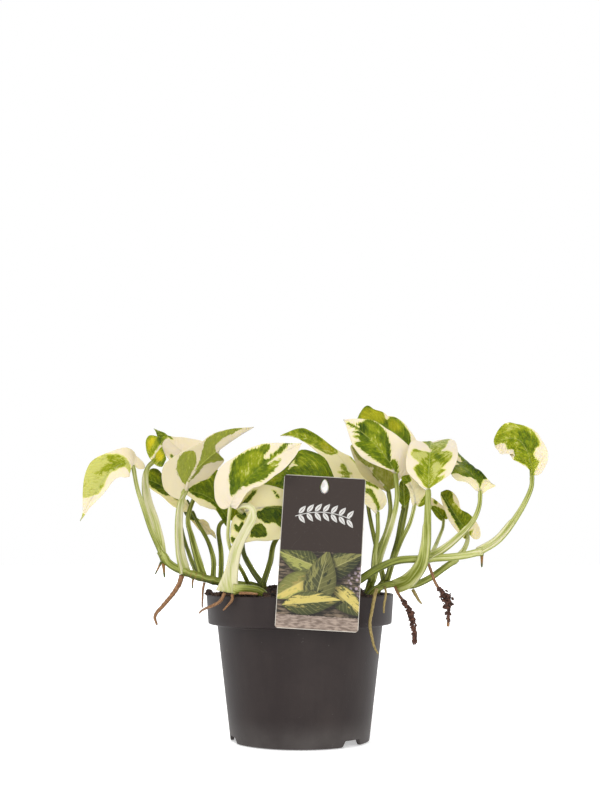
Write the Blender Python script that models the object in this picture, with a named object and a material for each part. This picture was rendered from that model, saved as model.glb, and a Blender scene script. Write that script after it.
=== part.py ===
"""A green and cream variegated pothos in a 12 cm nursery pot, with a picture label on a stake.

Design values are in millimetres. The origin is the centre of the pot's underside, +Z is up,
and the label faces -Y. Leaves, stems and roots are each a closed solid of their own.
"""

import math
from dataclasses import dataclass

import bmesh
import bpy
import numpy as np
from mathutils import Matrix, Vector

MM = 0.001
GAP = 0.3
SHARP_ANGLE = 40.0

# Pot: a moulded nursery pot whose rim is 121 mm across and 94.3 mm high.
POT_SEGMENTS = 44
POT_WALL = 1.3
FOOT_RADIUS = 45.0
FLOOR_UNDER = 4.6
STEP_HEIGHT = 74.4
STEP_RADIUS = 53.5
BAND_RADIUS = 59.3
RIM_RADIUS = 60.5
RIM_HEIGHT = 94.3
SHELF_RISE = 0.9
LIP_EDGE = 0.5
LIP_WIDTH = 1.6
CENTRE_DISC_RADIUS = 13.0
DISC_SLOPE = 1.5
FOOT_RING_WIDTH = 2.2
FOOT_SLOPE = 0.7
NOTCH_ANGLES = (46.75, -73.25, 166.75)
NOTCH_WIDTH = 17.0
NOTCH_TOP_WIDTH = 12.5
NOTCH_HEIGHT = 4.2
DRAIN_HOLES = 8
DRAIN_HOLE_RADIUS = 3.0
DRAIN_HOLE_CIRCLE = 31.0
DRAIN_HOLE_SIDES = 10
CUT_PAST = 2.0

# Soil: peat that fills the pot and domes a little over the rim.
SOIL_EDGE_HEIGHT = 92.6
SOIL_DOME = 6.0
SOIL_LUMP = 0.9
SOIL_BEVEL = 1.0
SOIL_RINGS = (0.96, 0.8, 0.6, 0.38, 0.17)
HOLE_CLEARANCE = 0.45

# Label: a card that leans back on the rim, hung by a slot on a stake.
CARD_WIDTH = 50.0
CARD_HEIGHT = 95.0
CARD_THICKNESS = 0.6
CARD_CORNER = 2.0
CARD_CENTRE = (12.6, -55.4, 121.4)
CARD_LEAN = 12.0
CARD_TURN = 3.4
SLOT_WIDTH = 5.8
SLOT_HEIGHT = 9.8
SLOT_CORNER = 2.8
SLOT_DROP = 1.2
STAKE_WIDTH = 6.0
STAKE_THICKNESS = 1.2
STAKE_FOOT = (10.5, -46.5, 70.0)
STAKE_HEAD_WIDTH = 5.0
STAKE_HEAD_HEIGHT = 9.0
STAKE_HEAD_DEPTH = 2.6
STAKE_HEAD_CORNER = 2.4
STAKE_HEAD_BACK = 0.5
STRIP_BACK = 1.5
STRIP_DROP = 2.0
CORNER_STEPS = 3

# Blades: rows run from the midrib to the margin.
BLADE_ROWS = 8
RIB_THICKNESS = 1.2
MARGIN_THICKNESS = 0.75
MARGIN_WAVE = 1.2
WAVES_PER_SIDE = 5.5
WAVE_OFFSET = 1.7
BASE_FULLNESS = 0.8
WIDEST_SHIFT = 0.25
RIB_SAMPLES = 25

# Necks: each blade keeps the last piece of its petiole, which ends inside the midrib.
NECK_LENGTH = 3.0
NECK_SINK = 2.2
NECK_END_RADIUS = 0.35

# Stems and petioles.
STEM_SIDES = 8
PETIOLE_SIDES = 5
ROOT_SIDES = 5
CURVE_STEPS = 2

GREEN = (0.16, 0.33, 0.05)
DARK_GREEN = (0.07, 0.19, 0.04)
CREAM = (0.83, 0.79, 0.60)
POT_GREY = (0.045, 0.042, 0.042)
PEAT_BROWN = (0.03, 0.018, 0.012)
CARD_BROWN = (0.10, 0.09, 0.085)
STAKE_GREY = (0.72, 0.71, 0.68)
STEM_GREEN = (0.30, 0.45, 0.13)
PALE_STEM = (0.62, 0.68, 0.42)
ROOT_BROWN = (0.21, 0.10, 0.05)
ROOT_OLIVE = (0.27, 0.22, 0.08)
LEAF_ROUGHNESS = 0.35
STEM_ROUGHNESS = 0.4
ROOT_ROUGHNESS = 0.8
POT_ROUGHNESS = 0.55
PEAT_ROUGHNESS = 0.95
CARD_ROUGHNESS = 0.4
STAKE_ROUGHNESS = 0.45


@dataclass(frozen=True)
class Leaf:
    """One blade: its midrib's base, middle and tip, and the way its upper face looks."""

    name: str
    base: tuple
    arch: tuple
    tip: tuple
    face: tuple
    width: float
    fold: float = 12.0
    taper: float = 0.9
    lobe: float = 0.3
    columns: int = 3
    colour: tuple = GREEN


LEAVES = (
    Leaf("leaf_far_left", (-107, -10, 177), (-121, -16, 172), (-138.5, -24, 141), (-0.25, -0.85, 0.45), 21),
    Leaf("leaf_left_rolled", (-95, 0, 179), (-92, 2, 189), (-86, 6, 197), (-0.4, -0.9, 0.3), 16,
         fold=18, columns=2),
    Leaf("leaf_left_back", (-62, 20, 171), (-78, 21, 187), (-97, 20, 203), (-0.1, -0.5, 0.85), 30,
         colour=CREAM),
    Leaf("leaf_left_underside", (-72, -20, 161), (-62, -26, 177), (-32, -37, 198), (0.15, 0.8, 0.6), 37,
         taper=5),
    Leaf("leaf_left_low", (-71, 13, 148), (-87, 15, 162), (-104, 13, 170), (-0.3, -0.6, 0.75), 22,
         colour=DARK_GREEN),
    Leaf("leaf_left_small", (-76, 23, 152), (-67, 23, 141), (-56, 23, 130), (0.4, -0.7, 0.5), 11,
         columns=2, colour=CREAM),
    Leaf("leaf_left_inner", (-47, 3, 142), (-60, 2, 157), (-77, 0, 160), (0, -0.85, 0.5), 30,
         colour=DARK_GREEN),
    Leaf("leaf_front_left", (-43, -38, 149.5), (-28.5, -46, 170), (1, -49, 188), (0.1, -0.9, 0.4), 32,
         lobe=0.12),
    Leaf("leaf_behind_label", (16, -14, 152), (6, -15, 170), (-25, -15, 162), (0, -0.8, 0.6), 40,
         colour=DARK_GREEN),
    Leaf("leaf_front_cream", (-36, -35, 146), (-13, -38, 149), (9, -41, 139), (0.0, -1, -0.05), 40, fold=-4,
         colour=CREAM),
    Leaf("leaf_arch", (38, 10, 160), (20, 9, 188.5), (-13, 5, 197), (0.25, -0.3, 0.9), 31),
    Leaf("leaf_right_front", (60, -25, 171), (46, -29, 190), (27, -33, 204), (-0.1, -0.9, 0.4), 35, fold=6,
         lobe=0.15),
    Leaf("leaf_right_underside", (57, -6, 161), (45, -8, 174), (33, -10, 190), (0.2, 0.85, 0.5), 25),
    Leaf("leaf_right_top", (70, 8, 176), (57.5, 8, 202), (36, 6, 207), (0.3, -0.7, 0.65), 29),
    Leaf("leaf_right_facing", (79, -42, 160), (81, -32, 182), (85, -6, 192), (0.0, -0.8, 0.6), 34, lobe=0.12),
    Leaf("leaf_right_dark", (113, -28, 160), (106, -16, 175), (93, 4, 184), (0.4, -0.4, 0.8), 24,
         colour=DARK_GREEN),
    Leaf("leaf_far_right", (143, -42, 169), (135.5, -42, 190), (120, -42, 187), (-0.2, -0.85, 0.5), 22),
    Leaf("leaf_right_low", (108, -5, 134), (99, -5, 147), (91, -4, 160), (-0.2, -0.9, 0.4), 21),
    Leaf("leaf_right_small", (94, 8, 143), (88, 8, 150), (81, 8, 155), (-0.2, -0.9, 0.4), 11, columns=2),
    Leaf("leaf_label_side", (49, -22, 147), (43, -24, 159), (31, -25, 164), (0.2, -0.9, 0.3), 24,
         colour=CREAM),
    Leaf("leaf_right_edge_on", (64, -16, 141), (66.5, -17, 156), (65.5, -17, 169), (0.85, -0.5, 0.1), 14,
         columns=2),
    Leaf("leaf_right_cream", (72, -30, 152), (70, -32, 161), (64, -32, 169), (0.2, -0.9, 0.3), 19, columns=2,
         colour=CREAM),
    Leaf("leaf_back_centre", (10, 45, 165), (5, 65, 178), (-5, 92, 162), (0, 0.2, 1), 32),
    Leaf("leaf_back_left", (-28, 40, 150), (-40, 60, 164), (-50, 84, 150), (-0.3, 0.2, 1), 32),
    Leaf("leaf_back_right", (45, 35, 165), (58, 55, 180), (68, 80, 170), (0.3, 0.2, 1), 32),
    Leaf("leaf_back_low", (11, 48, 131), (0, 68, 139), (-11, 92, 124), (-0.1, 0.3, 1), 27),
    Leaf("leaf_back_low_right", (28, 36, 130), (33, 57, 137), (36, 80, 122), (0.1, 0.3, 1), 22, columns=2,
         colour=CREAM),
)


@dataclass(frozen=True)
class Shoot:
    """One tube: its route, its radius at each end, and the leaf it ends at, if it carries one."""

    route: tuple
    start: float
    end: float
    leaf: str = ""
    flat: float = 1.0
    sides: int = PETIOLE_SIDES


@dataclass(frozen=True)
class Plant:
    """A vine or cutting: a stem, how many of its first points lie in the soil, and its petioles."""

    name: str
    stem: Shoot
    buried: int
    petioles: tuple
    colour: tuple = STEM_GREEN


PLANTS = (
    Plant(
        "vine_left",
        Shoot(
            ((-12, -8, 80), (-18, -8, 91), (-27, -8, 98.5), (-37, -8, 100), (-48, -8, 101.5),
             (-61, -8, 104.5), (-75, -8, 109), (-84, -8, 114), (-90, -8, 122)),
            2.7, 2.5, sides=STEM_SIDES,
        ),
        5,
        (
            Shoot(((-88, -8, 119), (-93, -9, 132), (-98, -10, 148), (-104, -11, 166), (-107, -10, 177)),
                  2.3, 1.5, "leaf_far_left"),
            Shoot(((-87, -7, 118), (-91, -4, 132), (-97, 2, 148), (-101, 6, 164), (-99.5, 6, 173),
                   (-95, 0, 179)), 2.2, 1.3, "leaf_left_rolled"),
            Shoot(((-74, -8, 108), (-75, -10, 129), (-75, -14, 147), (-72, -20, 161)),
                  2.7, 1.7, "leaf_left_underside", flat=1.3),
            Shoot(((-63, -7, 106), (-70, -1, 130), (-73, 4, 143), (-69, 12, 158), (-62, 20, 171)),
                  1.9, 1.2, "leaf_left_back"),
            Shoot(((-66, -6, 106), (-72, 8, 118), (-78, 20, 134), (-80, 27, 147), (-76, 23, 152)),
                  1.6, 0.9, "leaf_left_small"),
            Shoot(((-56, -7, 104), (-56, -2, 116), (-60, 6, 128), (-67, 11, 140), (-71, 13, 148)),
                  1.8, 1.1, "leaf_left_low"),
            Shoot(((-51, -7, 102), (-51, -3, 120), (-53, 2, 134), (-51.5, 4, 140), (-47, 3, 142)),
                  1.8, 1.2, "leaf_left_inner"),
            Shoot(((-32, -9, 99), (-35.5, -19, 108), (-41, -26, 118), (-44.5, -31, 129), (-44, -35.5, 141),
                   (-43, -38, 149.5)),
                  1.9, 1.3, "leaf_front_left"),
            Shoot(((-88, -8, 117), (-87.5, -8, 111), (-87, -8, 105)), 1.5, 0.5, sides=ROOT_SIDES),
            Shoot(((-89, -8, 115), (-91, -8, 111), (-93, -8, 107)), 0.8, 0.4, sides=ROOT_SIDES),
            Shoot(((-68, -8, 106), (-69, -8, 102), (-69, -8, 98)), 0.9, 0.4, sides=ROOT_SIDES),
        ),
    ),
    Plant(
        "cutting_front_left",
        Shoot(((-14, -36, 80), (-18, -38, 90), (-25, -41, 97), (-33, -42, 98.6), (-41, -42, 98.6)),
              2.6, 3.1, sides=STEM_SIDES),
        4,
        (
            Shoot(
                ((-44.5, -42, 96.6), (-43, -42, 103), (-41.5, -42, 108), (-38.3, -42, 116.7),
                 (-32.8, -43, 132), (-29.7, -44, 141.4), (-29.6, -44.5, 145.8), (-32.8, -43, 148.8),
                 (-36.6, -39, 148.6), (-36, -35, 146)),
                4.4, 1.5, "leaf_front_cream", flat=1.4,
            ),
        ),
        PALE_STEM,
    ),
    Plant(
        "cutting_left_middle",
        Shoot(((-20, -17, 80), (-21, -17.5, 90), (-23, -18, 98), (-24, -18, 102)), 2.3, 2.2,
              sides=STEM_SIDES),
        4,
        (
            Shoot(((-23.5, -17.5, 101), (-19, -14, 115), (-16, -13, 128), (-5, -12, 142), (8, -12, 149),
                   (16, -14, 152)), 1.9, 1.2, "leaf_behind_label"),
            Shoot(((-24, -17, 101), (-31, -8, 110), (-37, 2, 122), (-37, 20, 135), (-31, 33, 143),
                   (-28, 40, 150)), 2.0, 1.2, "leaf_back_left"),
        ),
    ),
    Plant(
        "vine_right_upper",
        Shoot(
            ((18, -40, 80), (22, -41, 90), (28, -42, 98), (40, -42, 106.5), (49, -42, 112), (61, -42, 116.5),
             (78, -42, 117.5), (98, -42, 119), (112, -42, 122)),
            2.5, 2.3, sides=STEM_SIDES,
        ),
        3,
        (
            Shoot(((110, -42, 121.5), (123, -42, 130), (135, -42, 146), (142, -42, 160), (143, -42, 169)),
                  2.4, 1.3, "leaf_far_right"),
            Shoot(((79, -42, 118), (88, -41, 123), (97, -39, 130), (107, -34, 140), (112, -30, 150),
                   (113, -28, 160)), 2.4, 1.3, "leaf_right_dark"),
            Shoot(((79, -41, 118), (84, -26, 123), (89, -8, 130), (93, 4, 137), (94, 8, 143)),
                  1.5, 0.9, "leaf_right_small"),
            Shoot(((112, -42, 121), (112, -42, 117), (112, -42, 112)), 1.2, 0.5, sides=ROOT_SIDES),
        ),
    ),
    Plant(
        "vine_right_lower",
        Shoot(
            ((38, -28, 82), (42, -29, 92), (48, -30, 98.5), (58, -30, 101.5), (70, -30, 100.6),
             (81, -28, 105), (90, -25.5, 111), (99, -22, 117)),
            2.4, 2.0, sides=STEM_SIDES,
        ),
        3,
        (
            Shoot(((97, -23, 116), (103, -20.5, 122), (106.5, -15, 128), (108, -5, 134)),
                  2.0, 1.2, "leaf_right_low"),
            Shoot(((59, -30, 102), (67, -31, 106), (73.5, -32, 115), (76.5, -35, 132), (78, -39, 148),
                   (79, -42, 160)), 3.2, 1.6, "leaf_right_facing", flat=1.3),
        ),
    ),
    Plant(
        "cutting_right_middle",
        Shoot(((38, -14, 80), (41, -16, 90), (44, -18, 99), (46, -20, 105)), 2.4, 2.3, sides=STEM_SIDES),
        3,
        (
            Shoot(((45, -18, 101), (49, -16, 120), (55, -13, 134), (58, -9, 148), (57, -6, 161)),
                  1.9, 1.2, "leaf_right_underside"),
            Shoot(((46, -21, 103), (47, -24, 120), (49, -24, 134), (49, -22, 147)),
                  1.8, 1.2, "leaf_label_side"),
            Shoot(((46, -20, 103), (52, -22, 122), (58, -25, 140), (61, -26, 156), (60, -25, 171)),
                  2.0, 1.4, "leaf_right_front"),
        ),
    ),
    Plant(
        "cutting_right_back",
        Shoot(((44, -2, 80), (47, -3, 90), (51, -4, 98), (56, -5, 104)), 2.3, 2.2, sides=STEM_SIDES),
        3,
        (
            Shoot(((56, -6, 103), (59, -10, 117), (62, -14, 129), (64, -16, 141)),
                  1.7, 1.1, "leaf_right_edge_on"),
            Shoot(((56, -7, 103), (60, -17, 118), (64, -23, 129), (69, -28, 140), (72, -30, 152)),
                  1.8, 1.1, "leaf_right_cream"),
            Shoot(((56, -4, 104), (62, 3, 120), (68, 8, 142), (71, 8, 162), (70, 8, 176)),
                  1.9, 1.3, "leaf_right_top"),
            Shoot(((54, -3, 103), (50, 12, 125), (46, 25, 148), (45, 35, 165)), 1.8, 1.2, "leaf_back_right"),
        ),
    ),
    Plant(
        "cutting_back",
        Shoot(((16, 14, 80), (17, 15, 90), (18, 16, 98), (18.5, 16.5, 103)), 2.6, 2.6, sides=STEM_SIDES),
        4,
        (
            Shoot(((19, 15, 102), (28, 10, 125), (36, 10, 146), (38, 10, 160)), 1.9, 1.2, "leaf_arch"),
            Shoot(((18, 18, 102), (14, 28, 125), (11, 36, 148), (10, 45, 165)), 1.9, 1.2, "leaf_back_centre"),
            Shoot(((18, 18, 101), (16, 31, 113), (13, 41, 123), (11, 48, 131)), 1.7, 1.1, "leaf_back_low"),
            Shoot(((20, 18, 101), (25, 25, 112), (27.5, 31, 122), (28, 36, 130)),
                  1.7, 1.1, "leaf_back_low_right"),
        ),
    ),
)


@dataclass(frozen=True)
class Root:
    """An aerial root: its route and the radius at each of the route's points."""

    name: str
    route: tuple
    radii: tuple
    colour: tuple = ROOT_BROWN


ROOTS = (
    Root("root_left_long",
         ((-75.8, -8, 106.4), (-77.8, -8, 100.4), (-82, -8, 94), (-88, -8, 87), (-93, -9, 81), (-92, -9, 74)),
         (1.1, 1.1, 1.0, 1.0, 0.8, 0.5)),
    Root("root_left_thin", ((-61.4, -8.5, 101.8), (-62.5, -9, 95), (-62.3, -9, 86)), (0.6, 0.6, 0.4)),
    Root("root_front_long",
         ((-46.3, -44, 96.35), (-49, -42.5, 91.5), (-54, -39, 88.5), (-58, -35, 86.5), (-63, -30, 83.5)),
         (1.1, 1.1, 0.9, 0.7, 0.4)),
    Root("root_front_short", ((-41.5, -45, 95.4), (-42, -47, 92), (-47, -45, 86)), (0.9, 0.8, 0.4)),
    Root("root_front_flat", ((-37, -45.3, 96.3), (-32, -49, 96.4), (-26, -52, 96.0)), (0.8, 0.8, 0.5)),
    Root("root_right_clotted",
         ((79, -42, 114.6), (81, -43, 109), (83, -44, 103), (86, -45, 98), (89, -45, 95), (91, -45, 90),
          (91, -45, 80)),
         (1.0, 1.1, 1.2, 2.2, 3.9, 2.6, 0.7)),
    Root("root_right_crumbly",
         ((59.2, -32.4, 99.8), (61, -37, 95.5), (64, -40, 91), (67, -41, 87), (69, -41, 79), (70, -41, 69)),
         (0.8, 0.9, 1.2, 1.9, 1.8, 0.8)),
    Root("root_right_tan", ((70.4, -30.5, 98.15), (72, -31, 95), (74, -31, 91.5), (76, -31, 89)),
         (0.9, 0.9, 0.7, 0.4), ROOT_OLIVE),
    Root("root_front_olive",
         ((47.5, -32.5, 97.7), (47, -42, 98), (45.5, -47.5, 94), (44, -48.5, 85), (43, -47, 77),
          (44, -45, 68), (48, -43, 59)),
         (0.8, 0.9, 0.9, 0.8, 0.8, 0.7, 0.4), ROOT_OLIVE),
    Root("root_front_olive_short", ((52.8, -32.4, 99.6), (53, -40, 97), (52, -43, 91), (51.5, -44, 84)),
         (0.6, 0.6, 0.6, 0.4), ROOT_OLIVE),
)


def at(point):
    """A design point in millimetres as a vector in metres."""
    return Vector(point) * MM


def unit(vector):
    """The vector at length one."""
    return vector / np.linalg.norm(vector)


def new_object(name, mesh_data):
    """Puts a bmesh in the scene as an object of this name."""
    mesh = bpy.data.meshes.new(name)
    mesh_data.to_mesh(mesh)
    mesh_data.free()
    built = bpy.data.objects.new(name, mesh)
    bpy.context.scene.collection.objects.link(built)
    return built


def paint(built, colour, roughness):
    """Gives an object a material of its own and shades its round faces smooth."""
    material = bpy.data.materials.new(built.name + " finish")
    material.use_nodes = True
    shader = material.node_tree.nodes["Principled BSDF"]
    shader.inputs["Base Color"].default_value = (*colour, 1)
    shader.inputs["Roughness"].default_value = roughness
    shader.inputs["Metallic"].default_value = 0.0
    built.data.materials.clear()
    built.data.materials.append(material)
    built.data.shade_smooth()
    built.data.set_sharp_from_angle(angle=math.radians(SHARP_ANGLE))
    return built


def combine(built, others, operation):
    """Joins or cuts an object with others in one Boolean, applies it and removes the others."""
    group = bpy.data.collections.new("operands")
    for other in others:
        group.objects.link(other)
    modifier = built.modifiers.new("combine", "BOOLEAN")
    modifier.operation = operation
    modifier.solver = "EXACT"
    modifier.operand_type = "COLLECTION"
    modifier.collection = group
    bpy.context.view_layer.update()
    evaluated = built.evaluated_get(bpy.context.evaluated_depsgraph_get())
    mesh = bpy.data.meshes.new_from_object(evaluated)
    built.modifiers.clear()
    built.data = mesh
    mesh.name = built.name
    for other in others:
        bpy.data.objects.remove(other)
    bpy.data.collections.remove(group)
    return built


def turned(name, profile, segments):
    """A closed body turned about Z from a profile of (radius, height) that starts and ends on it."""
    body = bmesh.new()
    rings = []
    for radius, height in profile:
        if radius == 0:
            rings.append([body.verts.new(at((0, 0, height)))])
            continue
        angles = (2 * math.pi * step / segments for step in range(segments))
        rings.append(
            [body.verts.new(at((radius * math.cos(a), radius * math.sin(a), height))) for a in angles]
        )
    for lower, upper in zip(rings, rings[1:]):
        for step in range(segments):
            after = (step + 1) % segments
            corners = [lower[step % len(lower)], lower[after % len(lower)],
                       upper[after % len(upper)], upper[step % len(upper)]]
            body.faces.new(list(dict.fromkeys(corners)))
    bmesh.ops.recalc_face_normals(body, faces=body.faces)
    return new_object(name, body)


def block(name, size, place=Matrix()):
    """A box of this size in millimetres, centred on its place."""
    body = bmesh.new()
    bmesh.ops.create_cube(body, size=1, matrix=place @ Matrix.Diagonal((*at(size), 1)))
    return new_object(name, body)


def curve_points(route, steps):
    """Points on a smooth curve through a route, and how far along the route each one is."""
    points = np.array(route, dtype=float)
    padded = np.vstack([2 * points[0] - points[1], points, 2 * points[-1] - points[-2]])
    found, parts = [], []
    for span in range(len(points) - 1):
        before, start, end, after = padded[span:span + 4]
        for step in range(steps):
            t = step / steps
            found.append(
                0.5 * (2 * start + (end - before) * t + (2 * before - 5 * start + 4 * end - after) * t**2
                       + (3 * start - before - 3 * end + after) * t**3)
            )
            parts.append((span + t) / (len(points) - 1))
    return np.array([*found, points[-1]]), np.array([*parts, 1.0])


def tube(name, points, radii, sides, flat=1.0, first=None, last=None):
    """A closed tube along points, wider at its start by flat; its ends may be given a way to face."""
    points = np.array(points, dtype=float)
    tangents = np.gradient(points, axis=0)
    tangents[0] = tangents[0] if first is None else first
    tangents[-1] = tangents[-1] if last is None else last
    flats = np.linspace(flat, 1, len(points))
    across = np.array((1.0, 0.0, 0.0))
    body = bmesh.new()
    rings = []
    for point, tangent, radius, flat in zip(points, tangents, radii, flats):
        along = unit(tangent)
        across = unit(across - along * np.dot(across, along))
        depth = np.cross(along, across)
        ring = []
        for side in range(sides):
            angle = 2 * math.pi * (side + 0.5) / sides
            offset = across * math.cos(angle) * flat + depth * math.sin(angle)
            ring.append(body.verts.new(at(point + offset * radius)))
        rings.append(ring)
    for lower, upper in zip(rings, rings[1:]):
        for side in range(sides):
            after = (side + 1) % sides
            body.faces.new((lower[side], lower[after], upper[after], upper[side]))
    body.faces.new(rings[0][::-1])
    body.faces.new(rings[-1])
    return new_object(name, body)


class Midrib:
    """A leaf's midrib: a curve through its base, middle and tip, with the frame that blades use."""

    def __init__(self, leaf):
        self.start = np.array(leaf.base, dtype=float)
        self.end = np.array(leaf.tip, dtype=float)
        self.pull = 2 * np.array(leaf.arch, dtype=float) - (self.start + self.end) / 2
        self.steps = np.linspace(0, 1, RIB_SAMPLES)
        points = np.array([self.at(step) for step in self.steps])
        lengths = np.linalg.norm(np.diff(points, axis=0), axis=1)
        self.run = np.concatenate([[0], np.cumsum(lengths)])
        self.length = self.run[-1]
        self.side = unit(np.cross(self.end - self.start, np.array(leaf.face, dtype=float)))

    def at(self, t):
        """The point at parameter t."""
        return (1 - t) ** 2 * self.start + 2 * t * (1 - t) * self.pull + t**2 * self.end

    def along(self, t):
        """The direction at parameter t."""
        return unit((1 - t) * (self.pull - self.start) + t * (self.end - self.pull))

    def frame(self, distance):
        """The point at this distance from the base, with the ways along, across and over the blade."""
        t = np.interp(distance, self.run, self.steps)
        along = self.along(t)
        beyond = distance - min(max(distance, 0), self.length)
        side = unit(self.side - along * np.dot(self.side, along))
        return self.at(t) + along * beyond, along, side, np.cross(side, along)


def blade_point(leaf, rib, across, turn):
    """A point of the blade's middle surface: across from -1 to 1, turn from 0 at the sinus to pi."""
    part = (1 - math.cos(turn)) / 2
    rib_y = rib.length * part
    edge_x = leaf.width / 2 * math.sin(turn) ** (BASE_FULLNESS + leaf.taper * part)
    edge_x *= 1 + WIDEST_SHIFT * math.cos(turn)
    edge_y = rib_y - rib.length * leaf.lobe * math.sin(turn) * max(0, math.cos(turn))
    out = abs(across)
    x = edge_x * out
    point, _, side, over = rib.frame(rib_y + (edge_y - rib_y) * out)
    angle = math.radians(leaf.fold)
    hand = 1 if across > 0 else -1
    ripple = MARGIN_WAVE * out**2 * math.sin(turn) * math.sin(WAVES_PER_SIDE * turn + WAVE_OFFSET * hand)
    return point + side * hand * x * math.cos(angle) + over * (x * math.sin(angle) + ripple)


def blade_triangles(half):
    """Corner indices of the middle surface's triangles, and the indices round its margin."""
    columns = 2 * half + 1

    def index(row, column):
        if row == 0:
            return 0
        if row == BLADE_ROWS + 1:
            return 1 + BLADE_ROWS * columns
        return 1 + (row - 1) * columns + column

    triangles = []
    for row in range(BLADE_ROWS + 1):
        for column in range(columns - 1):
            a, b = index(row, column), index(row, column + 1)
            c, d = index(row + 1, column + 1), index(row + 1, column)
            pair = ((a, b, c), (a, c, d)) if column >= half else ((a, b, d), (b, c, d))
            triangles += [corners for corners in pair if len(set(corners)) == 3]
    rows = range(1, BLADE_ROWS + 1)
    right = [index(row, columns - 1) for row in rows]
    left = [index(row, 0) for row in reversed(rows)]
    return triangles, [0, *right, index(BLADE_ROWS + 1, 0), *left]


def make_blade(leaf):
    """A leaf's closed blade, thicker at the midrib, with the same triangles on both faces."""
    rib = Midrib(leaf)
    acrosses = [column / leaf.columns - 1 for column in range(2 * leaf.columns + 1)]
    turns = [math.pi * row / (BLADE_ROWS + 1) for row in range(1, BLADE_ROWS + 1)]
    grid = [(0, 0)] + [(across, turn) for turn in turns for across in acrosses] + [(0, math.pi)]
    points = np.array([blade_point(leaf, rib, across, turn) for across, turn in grid])
    triangles, margin = blade_triangles(leaf.columns)
    normals = np.zeros_like(points)
    for corners in triangles:
        a, b, c = points[list(corners)]
        normals[list(corners)] += np.cross(b - a, c - a)
    normals /= np.linalg.norm(normals, axis=1)[:, None]
    halves = np.array([(RIB_THICKNESS + (MARGIN_THICKNESS - RIB_THICKNESS) * abs(across)) / 2
                       for across, _ in grid])[:, None]
    body = bmesh.new()
    upper = [body.verts.new(at(point)) for point in points + normals * halves]
    lower = [body.verts.new(at(point)) for point in points - normals * halves]
    for a, b, c in triangles:
        body.faces.new((upper[a], upper[b], upper[c]))
        body.faces.new((lower[c], lower[b], lower[a]))
    for a, b in zip(margin, margin[1:] + margin[:1]):
        body.faces.new((upper[b], upper[a], lower[a]))
        body.faces.new((upper[b], lower[a], lower[b]))
    bmesh.ops.recalc_face_normals(body, faces=body.faces)
    return new_object(leaf.name, body), rib


def cut_back(points, radii, length):
    """The tube's points and radii up to this far from its end, and the way it runs there."""
    steps = np.linalg.norm(np.diff(points, axis=0), axis=1)
    run = np.concatenate([[0], np.cumsum(steps)])
    stop = run[-1] - length
    keep = run < stop - 0.5
    end = np.array([np.interp(stop, run, points[:, axis]) for axis in range(3)])
    radius = np.interp(stop, run, radii)
    span = np.searchsorted(run, stop - 0.01)
    along = unit(points[span] - points[span - 1])
    return np.vstack([points[keep], end]), np.append(radii[keep], radius), along


def shoot_shape(shoot):
    """Points along a shoot and the radius at each."""
    points, parts = curve_points(shoot.route, CURVE_STEPS)
    return points, shoot.start + (shoot.end - shoot.start) * parts**0.7


def make_leaf(leaf, petiole):
    """A blade fused with the short neck that meets its petiole's end."""
    blade, rib = make_blade(leaf)
    points, radii = shoot_shape(petiole)
    start, radius, along = cut_back(points, radii, NECK_LENGTH)
    inside = rib.frame(NECK_SINK)[0]
    neck = tube(leaf.name + " neck", [start[-1], points[-1], inside],
                [radius[-1], radius[-1] * 0.85, NECK_END_RADIUS], PETIOLE_SIDES, first=along)
    combine(blade, [neck], "UNION")
    return paint(blade, leaf.colour, LEAF_ROUGHNESS)


def make_plant(plant):
    """A vine or cutting: its stem and petioles fused in one solid."""
    points, radii = shoot_shape(plant.stem)
    stem = tube(plant.name, points, radii, plant.stem.sides, plant.stem.flat)
    branches = []
    for petiole in plant.petioles:
        points, radii = shoot_shape(petiole)
        along = None
        if petiole.leaf:
            _, _, along = cut_back(points, radii, NECK_LENGTH)
            points, radii, _ = cut_back(points, radii, NECK_LENGTH + GAP)
        branches.append(tube("petiole", points, radii, petiole.sides, petiole.flat, last=along))
    combine(stem, branches, "UNION")
    return paint(stem, plant.colour, STEM_ROUGHNESS)


def make_root(root):
    """An aerial root: a tube whose radius follows the route's own list."""
    points, parts = curve_points(root.route, CURVE_STEPS)
    radii = np.interp(parts, np.linspace(0, 1, len(root.radii)), root.radii)
    return paint(tube(root.name, points, radii, ROOT_SIDES), root.colour, ROOT_ROUGHNESS)


def pot_shelf():
    """The height where the pot's wall steps out to its rim band."""
    return STEP_HEIGHT + SHELF_RISE


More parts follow.
